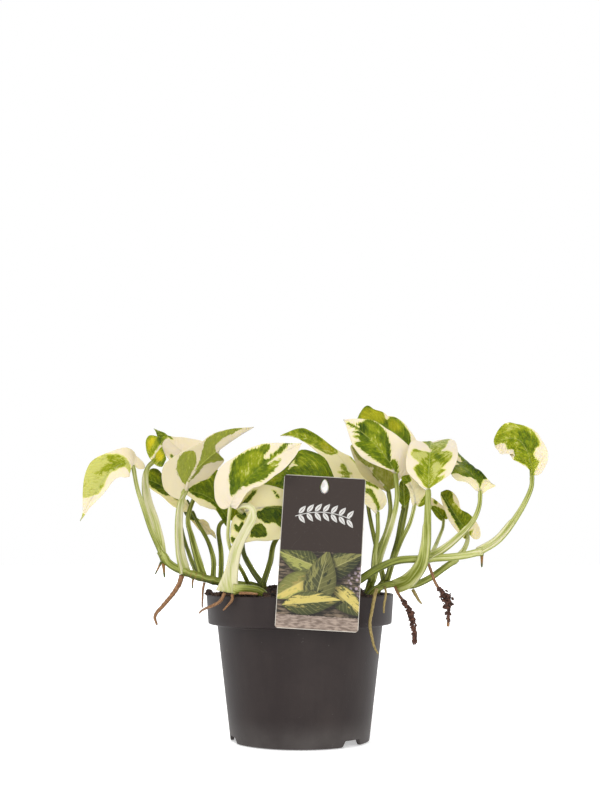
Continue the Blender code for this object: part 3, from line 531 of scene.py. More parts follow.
@dataclass(frozen=True)
class CardFinish:
    """A glossy printed card: a charcoal field with a pale sprig, and a picture of plain leaves below."""

    field_brown: Colour = (0.020, 0.012, 0.009)
    field_light: Colour = (0.028, 0.018, 0.014)
    ink: Colour = (0.50, 0.49, 0.47)
    ground: Colour = (0.022, 0.018, 0.012)
    straw: Colour = (0.17, 0.125, 0.085)
    petal: Colour = (0.36, 0.28, 0.32)
    strip: Colour = (0.13, 0.095, 0.075)
    paper: Colour = (0.30, 0.235, 0.19)
    cut_edge: Colour = (0.55, 0.52, 0.46)
    split: float = 0.5
    strip_top: float = -38.6
    sprig_height: float = 25.0
    sprig_bow: float = 0.012

    def picture(self) -> tuple[PrintedLeaf, ...]:
        """Lays out the printed picture.

        Returns:
            Its leaves, from the back one to the front one.
        """
        olive, moss, dark = (0.145, 0.14, 0.042), (0.062, 0.07, 0.02), (0.028, 0.033, 0.012)
        yellow, lime = (0.46, 0.37, 0.10), (0.24, 0.245, 0.06)
        return (
            PrintedLeaf(-13, -5, 160, 30, 15, moss, lime), PrintedLeaf(12, -7, 28, 34, 15, dark, olive),
            PrintedLeaf(-16, -22, 212, 30, 15, lime, yellow), PrintedLeaf(17, -29, -38, 30, 14, moss, yellow),
            PrintedLeaf(1, -16, 78, 37, 19, olive, dark), PrintedLeaf(-4, -31, 8, 36, 14, moss, yellow),
        )

    def build(self) -> Material:
        """The card material.

        Returns:
            The finished material.
        """
        board = Board("printed_card")
        x, _, z = board.split(board.place())
        x, z = x * 1000.0, z * 1000.0
        grain = board.cloud(board.vector(x, z, 0.0), 0.9, 4.0)
        twigs = board.cloud(board.vector(x * 0.25 + z * 0.2, z * 1.1, 2.0), 0.6, 5.0, 0.65)
        colour = board.mix(twigs.rise(0.42, 0.68), self.ground, self.straw)
        petals = board.scatter(board.vector(x, z, 4.0), 0.42)
        corner = (x + z * 0.3 + grain * 8.0).rise(13.0, 17.0) * (z * -1.0).rise(4.0, 9.0)
        colour = board.mix((1.0 - petals.rise(0.25, 0.5)) * corner * 0.8, colour, self.petal)
        for leaf in self.picture():
            colour = leaf.over(board, x, z, colour)
        strip = 1.0 - (z + grain * 1.5).rise(self.strip_top, self.strip_top + 0.5)
        fibres = board.cloud(board.vector(x * 0.3, z, 1.0), 0.8, 4.0).rise(0.35, 0.65)
        colour = board.mix(strip, colour, board.mix(fibres, self.strip, self.paper))
        panel = board.mix(self.sprig(x, z), board.mix(grain, self.field_brown, self.field_light), self.ink)
        colour = board.mix(z.rise(self.split - 0.06, self.split + 0.06), colour, panel)
        edge = abs(x).rise(24.55, 24.75).most(abs(z).rise(47.05, 47.25))
        colour = board.mix(edge * 0.75, colour, self.cut_edge)
        return board.finish({
            "Base Color": colour,
            "Roughness": 0.38 + grain * 0.1,
            "Normal": board.relief(grain, 0.0001, 0.3),
            "Specular IOR Level": 0.2,
        })

    def sprig(self, x: Wire, z: Wire) -> Wire:
        """A pale sprig across the charcoal field: a thin bowed stem with plain leaves on both sides.

        Args:
            x: millimetres across the card.
            z: millimetres up the card.

        Returns:
            The sprig's mask.
        """
        bow = self.sprig_height - x * x * self.sprig_bow
        mask = (1.0 - abs(z - bow).rise(0.12, 0.3)) * (1.0 - abs(x).rise(16.5, 17.0))
        for step in range(-3, 4):
            for hand in (-1, 1):
                leaf_x = step * 4.9 + 2.0
                leaf_z = self.sprig_height - leaf_x * leaf_x * self.sprig_bow + hand * 2.9
                leaf = PrintedLeaf(leaf_x, leaf_z, hand * 52.0, 6.4, 2.7, self.ink, self.ink)
                _, _, out = leaf.axes(x, z)
                mask = mask.most((1.0 - out.rise(0.97, 1.03)) * out.rise(0.0, 0.22))
        return mask


@dataclass(frozen=True)
class FloorFinish:
    """A plain pale studio floor."""

    tone: Colour = (0.90, 0.90, 0.90)
    cloudy: Colour = (0.86, 0.86, 0.86)
    glow: float = 0.45

    def build(self) -> Material:
        """The floor material.

        Returns:
            The finished material.
        """
        board = Board("studio_floor")
        haze = board.cloud(board.place(), 3.0, 2.0)
        return board.finish({
            "Base Color": board.mix(haze * 0.05, self.tone, self.cloudy),
            "Roughness": 0.6 + haze * 0.1,
            "Emission Color": (1.0, 1.0, 1.0),
            "Emission Strength": self.glow,
        })


def show(name: str, mesh: bpy.types.Mesh, material: Material, sharp: float = 180.0) -> Piece:
    """Dresses a mesh and puts it in the scene.

    Args:
        name: the object's name.
        mesh: its mesh.
        material: its finish.
        sharp: edges that turn more than this angle stay sharp.

    Returns:
        The object.
    """
    mesh.materials.append(material)
    mesh.shade_smooth()
    if sharp < 180.0:
        mesh.set_sharp_from_angle(angle=math.radians(sharp))
    made = bpy.data.objects.new(name, mesh)
    bpy.context.scene.collection.objects.link(made)
    return made


class Surface:
    """Gathers patches of vertices, faces and the values that vertices carry, for one mesh."""

    def __init__(self, names: Sequence[str]) -> None:
        """Starts an empty surface.

        Args:
            names: the values that its vertices carry.
        """
        self.points: list[Array] = []
        self.faces: Faces = []
        self.values: dict[str, list[Array]] = {name: [] for name in names}
        self.count = 0

    def add(self, points: Array, faces: Iterable[Sequence[int]], **values: Union[float, Array]) -> None:
        """Adds a patch.

        Args:
            points: its vertices in millimetres, one row each.
            faces: the corners of each face, counted from the patch's first vertex.
            values: for each named value, one number for all vertices or a row for each.
        """
        points = np.asarray(points, dtype=float).reshape(-1, 3)
        self.faces += [tuple(int(corner) + self.count for corner in face) for face in faces]
        self.points.append(points)
        for name, gathered in self.values.items():
            value = np.asarray(values[name], dtype=float)
            if value.ndim == 0:
                value = np.full(len(points), float(value))
            gathered.append(value)
        self.count += len(points)

    def build(self, name: str, material: Material, merge: float = 0.0, sharp: float = 180.0) -> Piece:
        """Makes the object.

        Args:
            name: the piece's name.
            material: its finish.
            merge: in millimetres, how near vertices are joined.
            sharp: edges that turn more than this angle stay sharp.

        Returns:
            The object, in the scene.
        """
        mesh = bpy.data.meshes.new(name)
        mesh.from_pydata((np.vstack(self.points) * MM).tolist(), [], self.faces)
        for key, gathered in self.values.items():
            joined = np.concatenate(gathered)
            kind = "FLOAT_VECTOR" if joined.ndim == 2 else "FLOAT"
            layer = mesh.attributes.new(key, kind, "POINT")
            layer.data.foreach_set("vector" if joined.ndim == 2 else "value", joined.astype(np.float32).ravel())
        if merge:
            body = bmesh.new()
            body.from_mesh(mesh)
            bmesh.ops.remove_doubles(body, verts=body.verts, dist=merge * MM)
            bmesh.ops.dissolve_degenerate(body, edges=body.edges, dist=merge * MM / 10)
            bmesh.ops.recalc_face_normals(body, faces=body.faces)
            body.to_mesh(mesh)
            body.free()
        return show(name, mesh, material, sharp)


def unit(vectors: Array) -> Array:
    """Vectors at length one."""
    return vectors / np.maximum(np.linalg.norm(vectors, axis=-1, keepdims=True), 1e-9)


def grid_faces(rows: int, columns: int, closed: bool = False) -> Faces:
    """Quads of a grid of vertices.

    Args:
        rows: how many rows of vertices.
        columns: how many in each row.
        closed: whether each row's last vertex joins its first.

    Returns:
        The corners of each quad.
    """
    spans = columns if closed else columns - 1
    faces = []
    for row in range(rows - 1):
        for column in range(spans):
            after = (column + 1) % columns
            faces.append((row * columns + column, row * columns + after,
                          (row + 1) * columns + after, (row + 1) * columns + column))
    return faces


def tube_faces(rings: int, sides: int) -> Faces:
    """The quads of a tube and its two ends."""
    ends = [tuple(range(sides))[::-1], tuple(range((rings - 1) * sides, rings * sides))]
    return grid_faces(rings, sides, closed=True) + ends


def turns_of(count: int) -> Array:
    """Even angles round a ring."""
    return 2 * math.pi * np.arange(count) / count


def run_up(points: Array) -> Array:
    """The length of a line up to each of its points."""
    return np.concatenate([[0], np.cumsum(np.linalg.norm(np.diff(points, axis=0), axis=1))])


def spaced(parts: Union[float, Array], values: Sequence[float]) -> Array:
    """Values that are given at even steps of a length, read at parts of it from 0 to 1."""
    return np.interp(parts, np.linspace(0, 1, len(values)), values)


def hill(values: Array, middle: float, width: float) -> Array:
    """A smooth hill of height 1 round a middle value."""
    return np.exp(-(((values - middle) / width) ** 2))


def circle(radius: float, angles: Array, height: Union[float, Array]) -> Array:
    """Points round the upright axis at one radius, at one height or a height for each."""
    return np.stack([radius * np.cos(angles), radius * np.sin(angles), height + 0 * angles], -1)


def hoops(side: Array, over: Array, count: int) -> Array:
    """Rings of radius 1 for a line's points, from the two directions across it at each."""
    turn = turns_of(count)
    return side[:, None] * np.cos(turn)[None, :, None] + over[:, None] * np.sin(turn)[None, :, None]


def rough(points: Array, scale: float, seed: float = 0.0) -> Array:
    """Soft noise from -1 to 1 at points in millimetres, at so many waves to a millimetre."""
    shift = Vector((seed, seed * 1.7, -seed * 0.6))
    return np.array([noise.noise(Vector(point) * scale + shift) for point in points])


def curve_points(route: Sequence[Point], steps: int) -> tuple[Array, Array]:
    """Points on a smooth curve through a route.

    Args:
        route: the points that it passes.
        steps: how many points it gets for each span.

    Returns:
        The points, and how far along the route's spans each one is, from 0 to 1.
    """
    points = np.array(route, dtype=float)
    padded = np.vstack([2 * points[0] - points[1], points, 2 * points[-1] - points[-2]])
    found, parts = [], []
    for span in range(len(points) - 1):
        before, start, end, after = padded[span:span + 4]
        for step in range(steps):
            t = step / steps
            found.append(0.5 * (2 * start + (end - before) * t
                                + (2 * before - 5 * start + 4 * end - after) * t**2
                                + (3 * start - before - 3 * end + after) * t**3))
            parts.append((span + t) / (len(points) - 1))
    return np.array([*found, points[-1]]), np.array([*parts, 1.0])


def stand_for(made: Piece, node: str) -> Piece:
    """Puts a piece on the one body, in place of a node.

    Args:
        made: the piece.
        node: the CAD node that it replaces.

    Returns:
        The piece.
    """
    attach(made, "root")
    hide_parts(node)
    return made


class Tissue(Enum):
    """What a patch of a blade is: green or cream tissue, or a part of the green that differs."""

    GREEN = "green"
    CREAM = "cream"
    DARK = "dark"
    # Lighter green: lighter tissue on some leaves, and painted glints of the quilting on the far right leaf and on
    # the leaf behind the label.
    BRIGHT = "bright"
    GOLD = "gold"
    OLIVE = "olive"

    def __call__(self, *outline: int) -> "Patch":
        """A patch of this tissue with this outline in hundredths."""
        return Patch(self, outline)


GREEN, CREAM, DARK, BRIGHT, GOLD, OLIVE = Tissue
TONE_AND_GOLD = {DARK: (-0.32, 0.0), BRIGHT: (0.3, 0.0), GOLD: (0.0, 1.0), OLIVE: (0.0, 0.45)}


def hundredths(outline: Sequence[int], wide: float, long: float) -> list[Point]:
    """Points of a flat outline, given across and along in turn in hundredths of half width and length."""
    return [(x * wide / 100, y * long / 100, 0.0) for x, y in zip(outline[::2], outline[1::2])]


@dataclass(frozen=True)
class Patch:
    """A patch of a flat leaf, and its outline in hundredths."""

    tissue: Tissue
    outline: tuple[int, ...]

    def depth(self, flat: Array, size: Pair) -> Array:
        """How far inside the patch each point of the leaf lies.

        Args:
            flat: points of the flat leaf in millimetres.
            size: the leaf's half width and length in millimetres.

        Returns:
            The depth in millimetres, negative outside.
        """
        route, steps = hundredths(self.outline, *size), 5
        curve, _ = curve_points([*route[-1:], *route, *route[:2]], steps)
        loop = curve[steps:-steps, :2]
        nearest = np.full(len(flat), 1e9)
        inside = np.zeros(len(flat), dtype=bool)
        for start, end in zip(loop, np.roll(loop, -1, axis=0)):
            side = end - start
            part = np.clip(((flat - start) @ side) / max(side @ side, 1e-9), 0, 1)
            nearest = np.minimum(nearest, np.linalg.norm(flat - start - part[:, None] * side, axis=1))
            crosses = (start[1] > flat[:, 1]) != (end[1] > flat[:, 1])
            height = side[1] if abs(side[1]) > 1e-9 else 1e-9
            inside ^= crosses & (flat[:, 0] < start[0] + (flat[:, 1] - start[1]) * side[0] / height)
        return np.where(inside, nearest, -nearest)


@dataclass(frozen=True)
class Blade:
    """One leaf blade: three points of its midrib, the way its upper side faces, and its drawn outline."""

    node: str
    base: Point
    arch: Point
    tip: Point
    face: Point
    width: float
    fold: float = 12.0
    taper: float = 0.9
    lobe: float = 0.3
    tone: float = 0.5
    feather: float = 0.12
    pucker: float = 0.3
    # How much painted glow a leaf's cream gets: it is painted lighter and yellower where the leaf lies in shade.
    warm: float = 0.0
    ribbed: float = 0.3
    right: tuple[int, ...] = ()
    left: tuple[int, ...] = ()
    patches: tuple[Patch, ...] = ()
    rows: int = 80
    half_columns: int = 24
    thickness: float = 0.45
    wave: float = 0.8
    vein_slope: float = 0.62
    vein_bend: float = 0.012
    deepest: float = 6.0
    soft_edge: float = 1.3
    slot: str = "leaf_green"

    def rib(self) -> tuple[Array, Array, Array]:
        """Measures the midrib.

        Returns:
            The midrib's pull point, steps from 0 to 1, and the length run up to each.
        """
        start, end = np.array(self.base, float), np.array(self.tip, float)
        pull = 2 * np.array(self.arch, float) - (start + end) / 2
        steps = np.linspace(0, 1, 81)
        points = ((1 - steps) ** 2)[:, None] * start + (2 * steps * (1 - steps))[:, None] * pull
        points += (steps**2)[:, None] * end
        return pull, steps, run_up(points)

    def length(self) -> float:
        """The midrib's length."""
        return self.rib()[2][-1]

    def vein_start(self, along: Array, reach: Array) -> Array:
        """How far along the midrib the side vein starts that passes a point this far along and out."""
        return along - self.vein_slope * reach - self.vein_bend * reach**2

    def frame(self, distance: Array) -> tuple[Array, Array, Array, Array]:
        """The midrib at these distances from the base.

        Args:
            distance: in millimetres, also below 0 or past the tip.

        Returns:
            The points, and the ways along, across and over the blade there.
        """
        start, end = np.array(self.base, float), np.array(self.tip, float)
        pull, steps, run = self.rib()
        t = np.interp(distance, run, steps)[..., None]
        point = (1 - t) ** 2 * start + 2 * t * (1 - t) * pull + t**2 * end
        along = unit((1 - t) * (pull - start) + t * (end - pull))
        beyond = distance - np.clip(distance, 0, run[-1])
        level = unit(np.cross(end - start, np.array(self.face, float)))
        side = unit(level - along * (along @ level)[..., None])
        return point + along * beyond[..., None], along, side, np.cross(side, along)

    def margin(self, turn: Array, hand: int) -> tuple[Array, Array]:
        """The margin of the flat leaf on one side.

        Args:
            turn: from 0 at the base to pi at the tip.
            hand: 1 for the right side and -1 for the left.

        Returns:
            How far across and along the margin lies, in millimetres.
        """
        length, part = self.length(), (1 - np.cos(turn)) / 2
        drawn = self.right if hand > 0 else self.left
        if not drawn:
            edge_x = self.width / 2 * np.sin(turn) ** (0.8 + self.taper * part) * (1 + 0.25 * np.cos(turn))
            return edge_x * hand, length * part - length * self.lobe * np.sin(turn) * np.maximum(0, np.cos(turn))
        route = [(0.0, 0.0, 0.0), *hundredths(drawn, self.width / 2, length), (0.0, length, 0.0)]
        points, _ = curve_points(route, 8)
        run = run_up(points)
        return np.interp(part, run / run[-1], points[:, 0]), np.interp(part, run / run[-1], points[:, 1])

    def flat(self, across: Array, turn: Array) -> tuple[Array, Array]:
        """Where points of the grid lie on the flat leaf.

        Args:
            across: from -1 at the left margin to 1 at the right one.
            turn: from 0 at the base to pi at the tip.

        Returns:
            How far across and along they lie, in millimetres.
        """
        along = self.length() * (1 - np.cos(turn)) / 2
        edge_x, edge_y = np.where(across > 0, self.margin(turn, 1), self.margin(turn, -1))
        out = np.abs(across)
        return edge_x * out, along + (edge_y - along) * out

    def raised(self, across: Array, turn: Array) -> Array:
        """The blade's middle surface in space, waved at its margin and puckered between its veins.

        Args:
            across: from -1 at the left margin to 1 at the right one.
            turn: from 0 at the base to pi at the tip.

        Returns:
            Its points.
        """
        x, y = self.flat(across, turn)
        point, _, side, over = self.frame(y)
        angle = math.radians(self.fold)
        hand = np.where(across > 0, 1.0, -1.0)
        out = np.abs(across)
        reach = np.abs(x)
        ripple = self.wave * out**2 * np.sin(turn) * np.sin(5.5 * turn + 1.7 * hand)
        crown = (np.sqrt(reach**2 + 0.25) - 0.5) * math.sin(angle)
        between = np.sin(math.pi * self.vein_start(y, reach) / VEIN_SPACING) ** 2
        quilt = self.pucker * between * np.sin(np.pi * np.minimum(out * 1.05, 1))
        bumps = rough(np.stack([x, y, 0 * x], -1).reshape(-1, 3), 0.22, len(self.node)).reshape(x.shape)
        height = crown + ripple + (quilt + bumps * self.pucker * 1.3) * np.minimum(1, np.sin(turn) * 3)
        return point + side * (x * math.cos(angle))[..., None] + over * height[..., None]

    def greenness(self, x: Array, y: Array) -> Array:
        """How far inside the green each point of the flat leaf lies.

        Args:
            x: how far across the points lie, in millimetres.
            y: how far along they lie.

        Returns:
            The depths in millimetres, negative outside.
        """
        size = (self.width / 2, self.length())
        flat = np.stack([x.ravel(), y.ravel(), 0 * x.ravel()], axis=-1)
        warp = np.stack([rough(flat, 0.35, 3.0), rough(flat, 0.35, 9.0)], axis=-1)
        flat = flat[:, :2] + warp * 0.8
        found = np.full(len(flat), -self.deepest)
        for patch in self.patches:
            if patch.tissue is GREEN:
                found = np.maximum(found, patch.depth(flat, size))
            if patch.tissue is CREAM:
                found = np.minimum(found, -patch.depth(flat, size))
        return np.clip(found, -self.deepest, self.deepest).reshape(x.shape)

    def shades(self, x: Array, y: Array) -> tuple[Array, Array]:
        """How light and how golden the green is at each point of the flat leaf.

        Args:
            x: how far across the points lie, in millimetres.
            y: how far along they lie.

        Returns:
            The tones and the shares of gold.
        """
        size = (self.width / 2, self.length())
        flat = np.stack([x.ravel(), y.ravel()], axis=-1)
        tone, gold = np.full(len(flat), self.tone), np.zeros(len(flat))
        for patch in self.patches:
            if patch.tissue not in TONE_AND_GOLD:
                continue
            shift, gilt = TONE_AND_GOLD[patch.tissue]
            part = np.clip((patch.depth(flat, size) + self.soft_edge) / (2 * self.soft_edge), 0, 1)
            soft = part * part * (3 - 2 * part)
            tone, gold = tone + shift * soft, np.maximum(gold, soft * gilt)
        return tone, gold

    def build(self, material: Material) -> Piece:
        """The blade with its two skins, its rim and the rib under it.

        Args:
            material: its finish.

        Returns:
            The piece.
        """
        turns = np.linspace(0, math.pi, self.rows)
        acrosses = np.linspace(-1, 1, 2 * self.half_columns + 1)
        turn, across = np.meshgrid(turns, acrosses, indexing="ij")
        middle = self.raised(across, turn)
        x, y = self.flat(across, turn)
        _, _, _, over = self.frame(y)
        down, right = np.gradient(middle, axis=0), np.gradient(middle, axis=1)
        normal = unit(np.cross(right, down))
        normal[[0, -1]] = over[[0, -1]]
        thick = self.thickness * (1 - 0.35 * np.abs(across))[..., None] / 2
        reach = np.abs(x)
        tone, gold = self.shades(x, y)
        carried = {"green": self.greenness(x, y).ravel(), "tone": tone, "gold": gold, "warm": self.warm,
                   "ribbed": self.ribbed, "feather": self.feather,
                   "blade": np.stack([x, self.vein_start(y, reach), reach * 1.18], -1).reshape(-1, 3)}
        surface = Surface((*carried, "under"))
        rows, columns = turn.shape
        quads = grid_faces(rows, columns)
        surface.add(middle + normal * thick, quads, under=0.0, **carried)
        surface.add(middle - normal * thick, [face[::-1] for face in quads], under=1.0, **carried)
        self.close_rim(surface, rows, columns)
        self.add_rib(surface)
        made = surface.build(self.node.replace("leaf_", "") + "_leaf", material, merge=0.02)
        return stand_for(made, self.node)

    def close_rim(self, surface: Surface, rows: int, columns: int) -> None:
        """Joins the two skins along the margin.

        Args:
            surface: the surface that holds both skins.
            rows: how many rows each skin has.
            columns: how many vertices each row has.
        """
        below = rows * columns
        for row in range(rows - 1):
            for column in (0, columns - 1):
                a, b = row * columns + column, (row + 1) * columns + column
                face = (a, b, b + below, a + below)
                surface.faces.append(face if column == 0 else face[::-1])

    def add_rib(self, surface: Surface) -> None:
        """Adds the raised midrib under the blade.

        Args:
            surface: the blade's surface.
        """
        length, sides = self.length(), 8
        distance = np.linspace(-0.5, length * 0.9, 28)
        point, _, side, over = self.frame(distance)
        radius = np.interp(distance / length, (0, 0.15, 0.6, 0.9), (1.15, 0.75, 0.4, 0.12))
        points = (point - over * (radius * 0.75)[:, None])[:, None] + hoops(side, over, sides) * radius[:, None, None]
        x, y = np.zeros(len(distance) * sides), np.repeat(distance, sides)
        surface.add(points.reshape(-1, 3), tube_faces(len(distance), sides), green=self.greenness(x, y), under=1.0,
                    blade=np.stack([x, y, x], -1), tone=self.tone, feather=0.1, warm=self.warm, gold=0.0, ribbed=0.5)


@dataclass(frozen=True)
class Shoot:
    """A stem or petiole: its route and radii, its channel and winged sheath, and its tint.

    Pairs and rows are read from the shoot's start to its end. A tint over 1 is a brown scar.
    """

    route: tuple[Point, ...]
    start: float
    end: float
    tint: tuple[float, ...]
    flat: float = 1.0
    channel: Pair = (0.35, 0.35)
    swell: tuple[float, ...] = (1.0, 1.0)
    sheath: float = 0.35
    wing: float = 0.25
    face: Point = (0.2, -0.6, 0.75)
    sides: int = 28
    knuckle: float = 0.14
    ring: float = 0.16
    lip_angle: float = 0.75
    lip_width: float = 0.24

    def centre_line(self) -> tuple[Array, Array, Array]:
        """Draws the line that the shoot follows.

        Returns:
            The points, their parts along it from 0 to 1, and their radii.
        """
        points, parts = curve_points(self.route, 10)
        radii = (self.start + (self.end - self.start) * parts**0.7) * spaced(parts, self.swell)
        knuckle = self.knuckle if self.channel[0] else 0.0
        return points, parts, radii * (1 + knuckle * hill(parts, 0.94, 0.035))

    def skin(self, surface: Surface, rings: Optional[Array] = None) -> None:
        """Adds the shoot's skin.

        Args:
            surface: the surface that it joins, with the values skin, tint and scar.
            rings: how far each of its points lies from the nearest joint, in millimetres.
        """
        points, parts, radii = self.centre_line()
        base = spaced(parts, self.tint)
        scars = np.clip(base - 1, 0, 1)
        if rings is not None:
            radii = radii * (1 + self.ring * hill(rings, 0.0, 1.5))
            scars = 0.62 * hill(rings, 1.5, 0.3)
        tangents = unit(np.gradient(points, axis=0))
        top = np.array(self.face, float)
        angles = turns_of(self.sides)
        wide, height = np.cos(angles), np.sin(angles)
        lips = hill(angles, self.lip_angle, self.lip_width) + hill(angles, math.pi - self.lip_angle, self.lip_width)
        floor = hill(angles, math.pi / 2, 0.4)
        rows, tints = [], []
        for point, tangent, part, radius, tint in zip(points, tangents, parts, radii, base):
            top = unit(top - tangent * (top @ tangent))
            flat = self.flat + (1 - self.flat) * part
            channel = self.channel[0] + (self.channel[1] - self.channel[0]) * part
            dip = np.where(height > 0, 1 - channel * 1.7 * np.abs(height) ** 1.5, 1.0)
            winged = np.clip((self.sheath - part) / 0.025, 0, 1) if channel else 0.0
            reach = 1 + self.wing * winged * lips
            ring = np.outer(wide * flat * reach, np.cross(tangent, top)) + np.outer(height * dip * reach, top)
            rows.append(point + radius * ring)
            # Tint: darker along the channel's floor, paler on the sheath's wing lips, and darker on the two flanks, a
            # painted shade of the stem's sides.
            tints.append(tint + channel * 0.45 * floor - winged * 0.3 * lips + 0.3 * np.abs(wide) ** 4)
        count = len(points)
        around, along = np.tile(angles, count) * np.repeat(radii, self.sides), np.repeat(run_up(points), self.sides)
        surface.add(np.vstack(rows), tube_faces(count, self.sides), tint=np.concatenate(tints),
                    scar=np.repeat(scars, self.sides),
                    skin=np.stack([around, along, 0 * along + self.route[0][0]], -1))


def bare(route: tuple[Point, ...], start: float, end: float, tint: tuple[float, ...]) -> Shoot:
    """A round shoot with no channel and no sheath."""
    return Shoot(route, start, end, tint, channel=(0, 0))


def bud(route: tuple[Point, ...], start: float, end: float) -> Shoot:
    """A brown root bud that points down from a joint of a stem."""
    return bare(route, start, end, (0.9, 1.8, 1.7, 0.9))


@dataclass(frozen=True)
class Plant:
    """A vine or cutting: its stem and the petioles that leave it."""

    node: str
    stem: Shoot
    petioles: tuple[Shoot, ...]
    slot: str = "stem_green"

    def build(self, material: Material) -> Piece:
        """The stem, swollen at each joint, with its petioles.

        Args:
            material: its finish.

        Returns:
            The piece.
        """
        surface = Surface(("tint", "scar", "skin"))
        points, _, _ = self.stem.centre_line()
        run = run_up(points)
        starts = [np.array(shoot.route[0]) for shoot in self.petioles]
        joints = [run[np.argmin(np.linalg.norm(points - start, axis=1))] for start in starts]
        rings = np.min(np.abs(run[:, None] - np.array(joints)[None, :]), axis=1)
        self.stem.skin(surface, rings)
        for petiole in self.petioles:
            petiole.skin(surface)
        return stand_for(surface.build(self.node + "_shoots", material), self.node)


def crumb(size: float, seed: float, lumps: float = 0.55) -> Array:
    """A lump of peat round the origin.

    Args:
        size: its radius in millimetres.
        seed: picks its shape.
        lumps: how far its noise reaches, in radii.

    Returns:
        Its vertices, in the order of the ball's.
    """
    swell = 1 + lumps * rough(CRUMB_POINTS * 1.6, 1.0, seed)
    squash = np.array([1.0, 0.75 + 0.2 * math.sin(seed * 7), 0.6 + 0.2 * math.sin(seed * 3)])
    turn = np.array(Matrix.Rotation(seed * 2.1, 3, Vector((math.sin(seed), math.cos(seed), 0.5)).normalized()))
    return (CRUMB_POINTS * swell[:, None] * squash * size) @ turn.T


def crumb_shape() -> tuple[Array, Faces]:
    """A round ball, from which all crumbs are made.

    Returns:
        Its vertices and faces.
    """
    body = bmesh.new()
    bmesh.ops.create_icosphere(body, subdivisions=2, radius=1.0)
    points = np.array([vertex.co for vertex in body.verts])
    faces = [tuple(vertex.index for vertex in face.verts) for face in body.faces]
    body.free()
    return points, faces


CRUMB_POINTS, CRUMB_FACES = crumb_shape()


@dataclass(frozen=True)
class AerialRoot:
    """An aerial root: its route, its radii from start to end, and how much soil clings to it."""

    node: str
    route: tuple[Point, ...]
    radii: tuple[float, ...]
    soil: float = 0.0
    slot: str = "root_brown"
    knots: float = 0.2
    bark_swell: float = 1.2
    clotted: float = 0.5
    thin_core: float = 0.9
    clod: float = 1.2
    crumbs: int = 520
    sides: int = 12

    def build(self, material: Material) -> Piece:
        """The root's knotty bark, with its clinging crumbs.

        Args:
            material: its finish.

        Returns:
            The piece.
        """
        surface = Surface(("scar", "skin"))
        points, parts = curve_points(self.route, 12)
        wide = spaced(parts, self.radii)
        radii = wide * self.bark_swell
        if self.soil > self.clotted:
            radii = np.minimum(radii, self.thin_core)
        seed = float(len(self.node)) + self.route[0][0]
        points = points + np.stack([rough(points, 0.12, seed + k) for k in range(3)], -1) * 0.9 * parts[:, None]
        tangents = unit(np.gradient(points, axis=0))
        across = np.array((1.0, 0.3, 0.0))
        angles = turns_of(self.sides)
        rows = []
        for point, tangent, radius in zip(points, tangents, radii):
            across = unit(across - tangent * (across @ tangent))
            ring = np.outer(np.cos(angles), across) + np.outer(np.sin(angles), np.cross(tangent, across))
            bumps = 1 + self.knots * rough(point + ring * radius, 0.9, seed)
            rows.append(point + ring * (radius * bumps)[:, None])
        shape, around = np.vstack(rows), np.tile(angles, len(points))
        hollows = 0.4 + 1.2 * rough(shape, 0.3, seed) + (np.repeat(wide, self.sides) - self.clod)
        surface.add(shape, tube_faces(len(points), self.sides), scar=np.clip(self.soil * hollows, 0, 1),
                    skin=np.stack([around, np.repeat(run_up(points), self.sides), 0 * around], -1))
        self.cling(surface, np.random.default_rng(int(abs(seed) * 10) + 7))
        return stand_for(surface.build(self.node + "_bark", material), self.node)

    def cling(self, surface: Surface, chance: np.random.Generator) -> None:
        """Adds the crumbs of soil that cling to the root.

        Args:
            surface: the root's surface.
            chance: where the crumbs' places come from.
        """
        points, parts = curve_points(self.route, 12)
        wide = spaced(parts, self.radii)
        for _ in range(int(self.soil * self.soil * self.crumbs)):
            spot = chance.integers(len(points))
            bare_spot = self.soil > self.clotted and wide[spot] < self.clod
            if chance.random() > wide[spot] / max(self.radii) or bare_spot:
                continue
            away = unit(chance.normal(size=3)) * max(wide[spot] - 0.3, 0.5) * chance.random() ** 0.35
            size = chance.uniform(0.4, 1.35)
            surface.add(points[spot] + away + crumb(size, chance.uniform(0, 50)), CRUMB_FACES, scar=1.0,
                        skin=np.zeros((len(CRUMB_POINTS), 3)))


